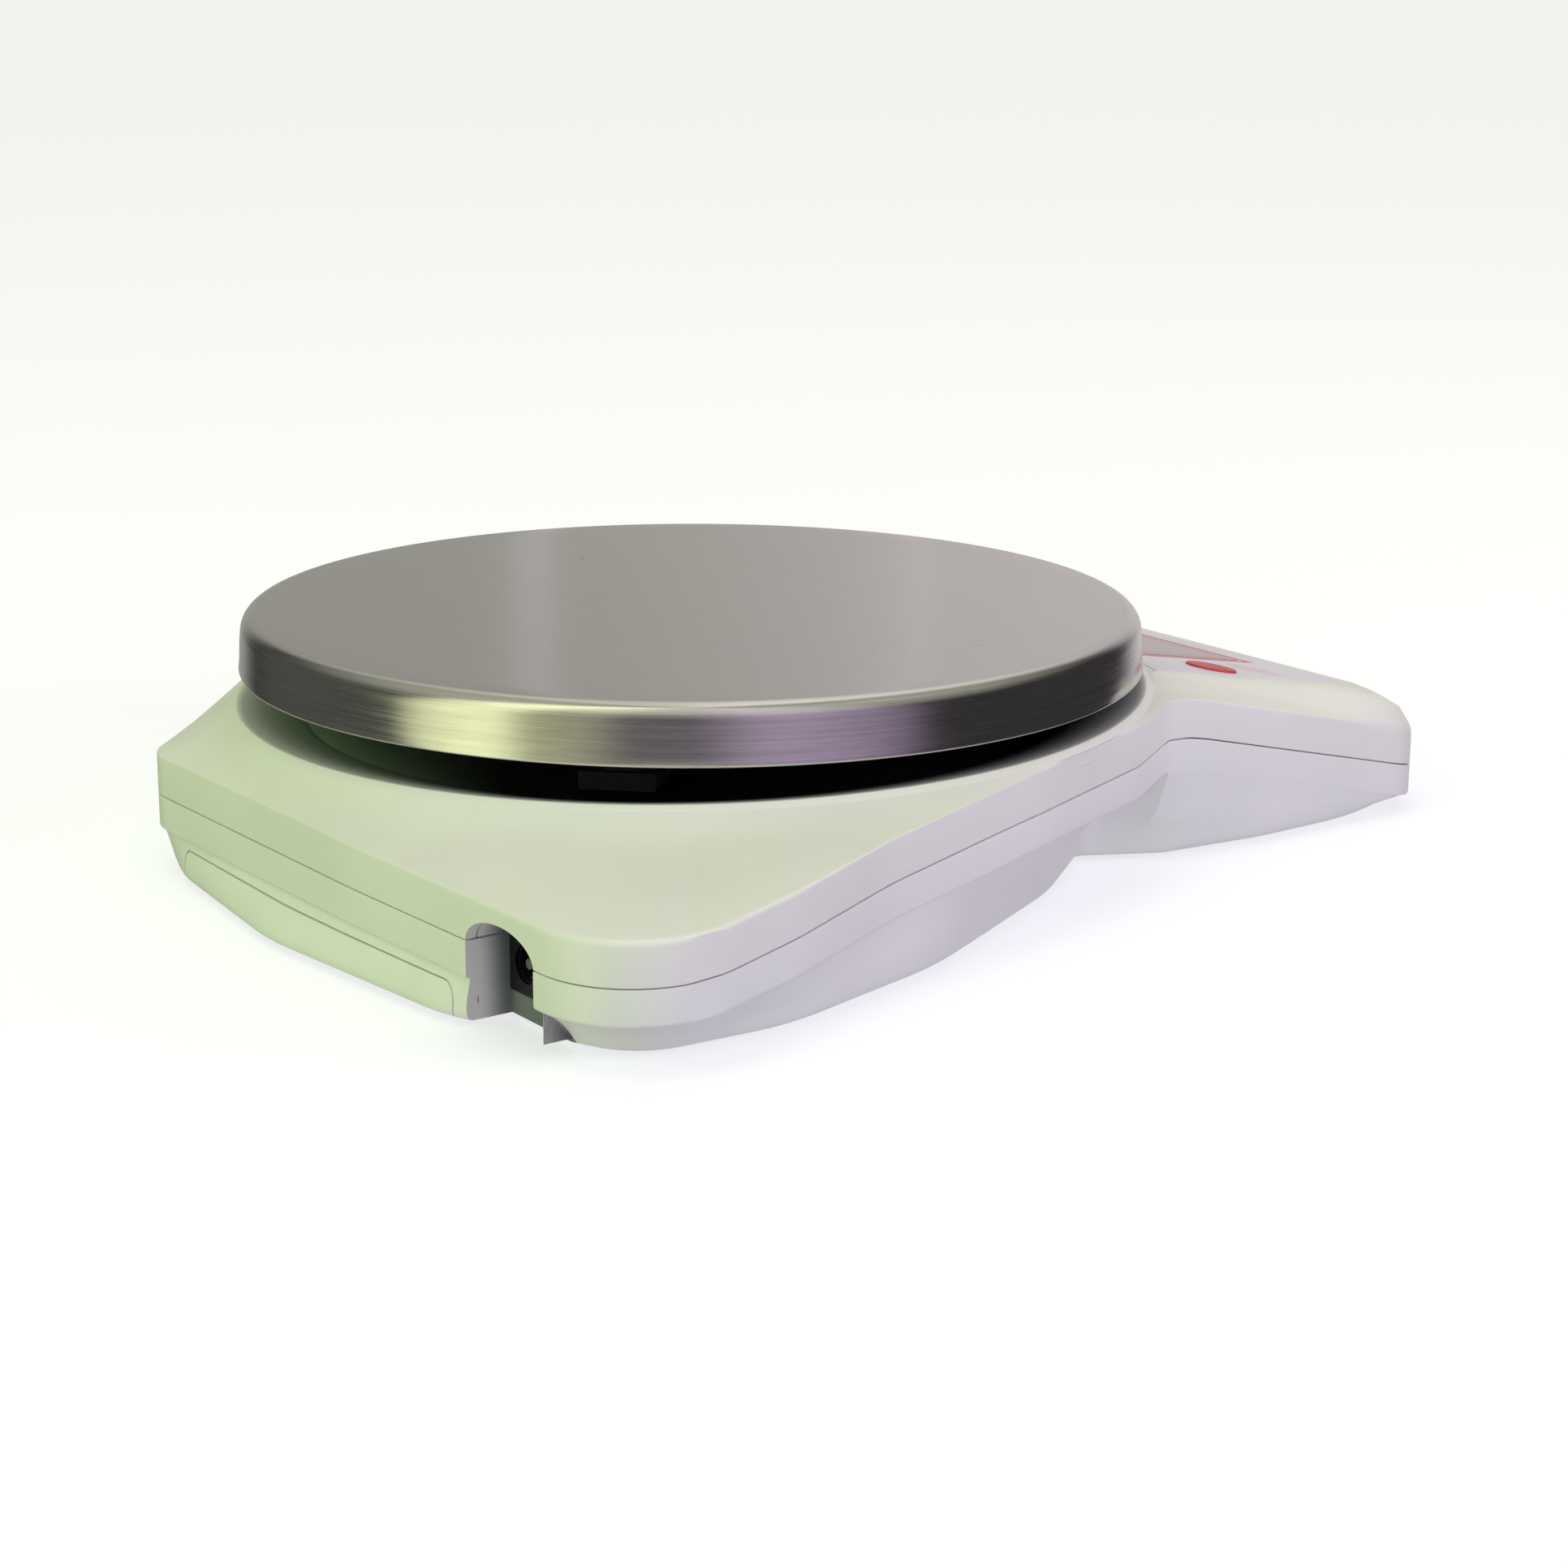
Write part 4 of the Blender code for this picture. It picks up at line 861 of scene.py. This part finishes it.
def window_material():
    """Smoked window with the grey field of an idle liquid crystal display behind it."""
    material, nodes, shader, place = new_material("Display window", Specular_IOR_Level=0.25)
    parts = nodes.add("ShaderNodeSeparateXYZ", {0: place})
    off_x = nodes.math("ABSOLUTE", nodes.math("SUBTRACT", parts.outputs[0], AXIS.x))
    off_y = nodes.math("ABSOLUTE", nodes.math("SUBTRACT", parts.outputs[1], AXIS.y + PANEL_Y))
    inside = nodes.math(
        "MULTIPLY", nodes.math("LESS_THAN", off_x, 0.0225), nodes.math("LESS_THAN", off_y, 0.0112))
    mist = nodes.noise(place, 120.0, 3.0)
    field = nodes.mix(nodes.remap(mist, 0.3, 0.7, 0.0, 1.0), rgb(0.33, 0.25, 0.255), rgb(0.39, 0.30, 0.305))
    rim = nodes.mix(nodes.remap(mist, 0.3, 0.7, 0.0, 1.0), rgb(0.34, 0.17, 0.18), rgb(0.40, 0.20, 0.21))
    color = nodes.mix(inside, rim, field)
    rough = nodes.remap(mist, 0.3, 0.7, 0.07, 0.15)
    connect(nodes, shader, Base_Color=color, Roughness=rough, Normal=nodes.bump(mist, 0.03, 0.00005))
    return material


def rounded_box(half_x, half_y, radius, steps=8):
    points = []
    for cx, cy, start in ((1, 1, 0), (-1, 1, 90), (-1, -1, 180), (1, -1, 270)):
        for a in np.linspace(start, start + 90, steps):
            points.append((
                cx * (half_x - radius) + radius * cos(radians(a)),
                cy * (half_y - radius) + radius * sin(radians(a)),
            ))
    return points


window_outline = [(x, y + PANEL_Y) for x, y in rounded_box(0.0275, 0.0155, 0.0015)]
window = plate_on_panel("window_pane", window_outline, -0.0003, 0.00025, window_material())
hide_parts("display_lens")
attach(window, "case")


def key_material():
    material, nodes, shader, place = new_material("Red key")
    cells = nodes.noise(place, 500.0, 3.0)
    slow = nodes.noise(place, 160.0, 2.0)
    tone = nodes.mix(nodes.remap(slow, 0.35, 0.65, 0.0, 1.0), rgb(0.52, 0.035, 0.045), rgb(0.66, 0.07, 0.08))
    rough = nodes.remap(cells, 0.3, 0.7, 0.32, 0.46)
    connect(nodes, shader, Base_Color=tone, Roughness=rough, Normal=nodes.bump(cells, 0.15, 0.00008))
    return material


KEY_MAT = key_material()
KEYS = {
    "power_key": (-0.0430, 0.0085, 0.0065, 0.0048),
    "tare_key": (0.0430, 0.0085, 0.0065, 0.0048),
    "unit_key": (0.0414, -0.0125, 0.0042, 0.0028),
}


def domed_key(name, x, y, half_x, half_y):
    bm = bmesh.new()
    steps = 56
    rings = [(1.0, -0.0036), (1.0, 0.00025)]
    rings += [(1 - 0.10 * (1 - cos(a)), 0.00025 + 0.00045 * sin(a)) for a in np.linspace(0.3, pi / 2, 4)]
    rings += [(0.62, 0.00080), (0.30, 0.00088)]
    turns = np.arange(steps) / steps * tau
    rows = [
        [bm.verts.new((x + half_x * s * cos(a), y + half_y * s * sin(a), z)) for a in turns]
        for s, z in rings
    ]
    for lower, upper in zip(rows, rows[1:]):
        for i in range(steps):
            j = (i + 1) % steps
            bm.faces.new((lower[i], lower[j], upper[j], upper[i]))
    bm.faces.new(rows[0][::-1])
    bm.faces.new(rows[-1])
    bmesh.ops.transform(bm, verts=bm.verts, matrix=PANEL_FRAME)
    obj = solid(name, bm, KEY_MAT)
    finish_smooth(obj, 50)
    return obj


for node, shape in KEYS.items():
    key = domed_key(f"{node}_cap", *shape)
    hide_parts(node)
    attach(key, node)


# ---- barrel socket in the niche ----
def socket_pieces():
    low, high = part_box("dc_jack")
    bm = cube_bm(low, high)
    bmesh.ops.bevel(bm, geom=bm.edges[:], offset=0.0004, segments=2, affect="EDGES")
    body = solid("socket_body", bm, JACK)
    mouth = bmesh.new()
    bmesh.ops.create_cone(
        mouth, cap_ends=True, segments=64, radius1=0.00315, radius2=0.00315, depth=0.018,
        matrix=Matrix.Translation(axis_point(JACK_X, NICHE_Y, JACK_Z)) @ Matrix.Rotation(pi / 2, 4, "X"),
    )
    apply_boolean(body, mouth, "DIFFERENCE")
    finish_smooth(body, 30)
    pin = bmesh.new()
    bmesh.ops.create_cone(
        pin, cap_ends=True, segments=32, radius1=0.00075, radius2=0.0010, depth=0.0085,
        matrix=Matrix.Translation(axis_point(JACK_X, NICHE_Y - 0.0045, JACK_Z))
        @ Matrix.Rotation(-pi / 2, 4, "X"),
    )
    pin = solid("socket_pin", pin, PLATED)
    finish_smooth(pin, 30)
    spring = cube_bm(
        axis_point(JACK_X - 0.0012, NICHE_Y - 0.0078, JACK_Z - 0.0031),
        axis_point(JACK_X + 0.0012, NICHE_Y - 0.0012, JACK_Z - 0.0027))
    bmesh.ops.bevel(spring, geom=spring.edges[:], offset=0.0001, segments=2, affect="EDGES")
    return body, pin, solid("socket_spring", spring, NICKEL)


def socket_bezel():
    """Thin black plate that closes the niche's inner wall round the socket."""
    half = (NICHE_X[1] - NICHE_X[0]) / 2 - 0.0001
    middle = (NICHE_X[1] + NICHE_X[0]) / 2
    rise = NICHE_TOP - PARTING_BACK - 0.0001
    outline = [(middle + half * cos(a), PARTING_BACK + rise * sin(a)) for a in np.linspace(0, pi, 33)]
    outline += [(middle - half, FLOOR_Z + 0.0022), (middle + half, FLOOR_Z + 0.0022)]
    bm = prism_bm(outline, 0.0003)
    stand = Matrix.Translation(axis_point(0, NICHE_Y + 0.0004)) @ Matrix.Rotation(pi / 2, 4, "X")
    bmesh.ops.transform(bm, verts=bm.verts, matrix=stand)
    plate = solid("socket_plate", bm, JACK)
    hole = bmesh.new()
    bmesh.ops.create_cone(
        hole, cap_ends=True, segments=64, radius1=0.0036, radius2=0.0036, depth=0.01,
        matrix=Matrix.Translation(axis_point(JACK_X, NICHE_Y, JACK_Z)) @ Matrix.Rotation(pi / 2, 4, "X"),
    )
    apply_boolean(plate, hole, "DIFFERENCE")
    return plate


socket_body, socket_pin, socket_spring = socket_pieces()
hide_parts("dc_jack")
for piece in (socket_body, socket_pin, socket_spring, socket_bezel()):
    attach(piece, "case")


# ---- materials of the pieces that keep their solids ----
def board_material():
    material, nodes, shader, place = new_material("Circuit board")
    tracks = nodes.noise(place, 260.0, 2.0)
    lines = nodes.remap(tracks, 0.49, 0.51, 0.0, 1.0)
    color = nodes.mix(lines, rgb(0.010, 0.10, 0.035), rgb(0.020, 0.17, 0.06))
    rough = nodes.remap(tracks, 0.3, 0.7, 0.28, 0.42)
    connect(nodes, shader, Base_Color=color, Roughness=rough, Normal=nodes.bump(lines, 0.15, 0.00004))
    return material


def battery_material():
    material, nodes, shader, place = new_material("Battery jacket", Metallic=0.3)
    parts = nodes.add("ShaderNodeSeparateXYZ", {0: place})
    wave = nodes.math("FRACT", nodes.math("MULTIPLY", parts.outputs[0], 19.7))
    band = nodes.math("GREATER_THAN", wave, 0.72)
    grain = nodes.noise(place, 320.0, 3.0)
    color = nodes.mix(band, rgb(0.035, 0.036, 0.040), rgb(0.42, 0.30, 0.12))
    rough = nodes.remap(grain, 0.3, 0.7, 0.26, 0.38)
    connect(nodes, shader, Base_Color=color, Roughness=rough, Normal=nodes.bump(grain, 0.08, 0.00005))
    return material


SLOT_MATERIALS = {
    "screw": PLATED, "carrier": CARRIER, "rubber": RUBBER, "cell": MILLED, "switch": BLACK,
    "contact": NICKEL, "wire": WIRE, "board": board_material(), "battery": battery_material(),
    "glass": dark_polymer("Display glass", (0.30, 0.32, 0.28), 0.16, 300.0, 0.05),
}
for part in frame["record"]["subparts"]:
    material = SLOT_MATERIALS.get(part["material_slot"])
    if material and part["node"] in NODES:
        shown = NODES[part["node"]]
        shown.data.materials.clear()
        shown.data.materials.append(material)

# ---- floor ----
floor_mesh = bpy.data.meshes.new("floor")
floor_mesh.from_pydata([(-14, -14, 0), (14, -14, 0), (14, 14, 0), (-14, 14, 0)], [], [(0, 1, 2, 3)])
floor_mat = bpy.data.materials.new("Pale floor")
floor_mat.use_nodes = True
floor_shader = floor_mat.node_tree.nodes["Principled BSDF"]
floor_shader.inputs["Base Color"].default_value = rgb(0.56, 0.56, 0.57)
floor_shader.inputs["Roughness"].default_value = 0.9
floor_shader.inputs["Emission Color"].default_value = rgb(0.97, 0.965, 1.0)
floor_shader.inputs["Emission Strength"].default_value = 0.57
floor_mesh.materials.append(floor_mat)
floor = bpy.data.objects.new("floor", floor_mesh)
bpy.context.scene.collection.objects.link(floor)
floor.visible_glossy = False
floor.visible_diffuse = False

# ---- soft studio surroundings ----
CAMERA_AT = axis_point(-0.5553, 0.3792, 0.1909)
VIEW = Vector((0.782, -0.568, -0.2565)).normalized()
TOWARDS = Vector((-VIEW.x, -VIEW.y)).normalized()
RIGHT = Vector((VIEW.y, -VIEW.x)).normalized()


def heading(degrees_right):
    """A level direction, turned from the camera's side of the object towards the picture's right."""
    a = radians(degrees_right)
    flat = TOWARDS * cos(a) + RIGHT * sin(a)
    return (flat.x, flat.y, 0.0)


# Soft upright cards of light: heading, full within, gone at (degrees), colour.
CARDS = (
    (-57, 7, 20, (0.98, 1.06, 0.60)),
    (-40, 2, 28, (0.34, 0.36, 0.18)),
    (-105, 10, 40, (0.05, 0.055, 0.04)),
    (0, 10, 50, (0.12, 0.11, 0.12)),
    (33, 5, 32, (0.32, 0.24, 0.36)),
    (180, 20, 42, (0.35, 0.35, 0.31)),
    (160, 2, 27, (0.26, 0.22, 0.26)),
    (-175.5, 0.20, 0.42, (0.13, 0.12, 0.14)),
    (176.0, 2.6, 3.0, (0.03, 0.025, 0.03)),
    (177.6, 0.1, 0.4, (0.06, 0.055, 0.06)),
)


def build_world():
    world = bpy.data.worlds.new("studio")
    bpy.context.scene.world = world
    world.use_nodes = True
    tree = world.node_tree
    tree.nodes.clear()
    nodes = Nodes(tree)
    ray = nodes.add("ShaderNodeTexCoord").outputs["Generated"]
    flat = nodes.scaled(ray, (1.0, 1.0, 0.0))
    flat = nodes.add("ShaderNodeVectorMath", {0: flat}, operation="NORMALIZE").outputs["Vector"]
    up = nodes.add("ShaderNodeSeparateXYZ", {0: ray}).outputs[2]
    total = nodes.add("ShaderNodeCombineXYZ", {0: 0.045, 1: 0.042, 2: 0.045}).outputs[0]

    def plus(total, color, factor):
        patch = nodes.add(
            "ShaderNodeVectorMath", {0: color, "Scale": factor}, operation="SCALE").outputs["Vector"]
        return nodes.add("ShaderNodeVectorMath", {0: total, 1: patch}, operation="ADD").outputs["Vector"]

    def card(total, where, inner, outer, color):
        """A soft upright card of light, centred on a heading, full within inner degrees, gone at outer."""
        turn = nodes.add(
            "ShaderNodeVectorMath", {0: flat, 1: heading(where)}, operation="DOT_PRODUCT").outputs["Value"]
        factor = nodes.remap(turn, cos(radians(outer)), cos(radians(inner)), 0.0, 1.0, "SMOOTHSTEP")
        return plus(total, color, factor)

    for place in CARDS:
        total = card(total, *place)
    below = nodes.remap(up, -0.42, -0.65, 0.0, 1.0, "SMOOTHSTEP")
    total = plus(total, (0.26, 0.28, 0.36), below)
    overhead = nodes.remap(up, 0.35, 0.95, 0.0, 1.0, "SMOOTHSTEP")
    total = plus(total, (0.46, 0.47, 0.38), overhead)
    back = nodes.add("ShaderNodeBackground", {"Color": total, "Strength": 1.0})
    nodes.add("ShaderNodeOutputWorld", {"Surface": back.outputs[0]})


build_world()


def soft_light(name, location, target, size, power, color):
    data = bpy.data.lights.new(name, "AREA")
    data.shape = "DISK"
    data.size = size
    data.energy = power
    data.color = color
    obj = bpy.data.objects.new(name, data)
    bpy.context.scene.collection.objects.link(obj)
    obj.location = location
    obj.visible_glossy = False
    obj.rotation_mode = "QUATERNION"
    obj.rotation_quaternion = (Vector(target) - Vector(location)).to_track_quat("-Z", "Y")


middle = (0.0, 0.0, 0.03)
soft_light("overhead", (0.15, 0.25, 1.5), middle, 1.2, 2.2, (0.97, 1.0, 0.82))
soft_light("green_side", (0.25, 1.30, 0.55), middle, 0.7, 3.2, (0.38, 1.0, 0.28))
soft_light("lilac_side", (-1.20, -0.45, 0.45), middle, 0.7, 4.0, (0.42, 0.40, 1.0))
soft_light("front_fill", (-0.95, 0.70, 0.35), middle, 0.8, 2.2, (0.80, 0.94, 1.0))
soft_light("console_fill", (-1.20, -0.90, 0.42), middle, 0.6, 8.2, (1.0, 0.95, 0.82))

# ---- camera ----
camera_data = bpy.data.cameras.new("camera")
camera_data.lens = 74.53
camera_data.sensor_width = 36.0
camera_data.clip_start = 0.01
camera_data.clip_end = 60.0
camera = bpy.data.objects.new("camera", camera_data)
bpy.context.scene.collection.objects.link(camera)
camera.location = CAMERA_AT
camera.rotation_mode = "QUATERNION"
roll = Matrix.Rotation(radians(0.30), 4, "Z").to_quaternion()
camera.rotation_quaternion = VIEW.to_track_quat("-Z", "Y") @ roll
bpy.context.scene.camera = camera
bpy.context.scene.view_settings.view_transform = "Standard"
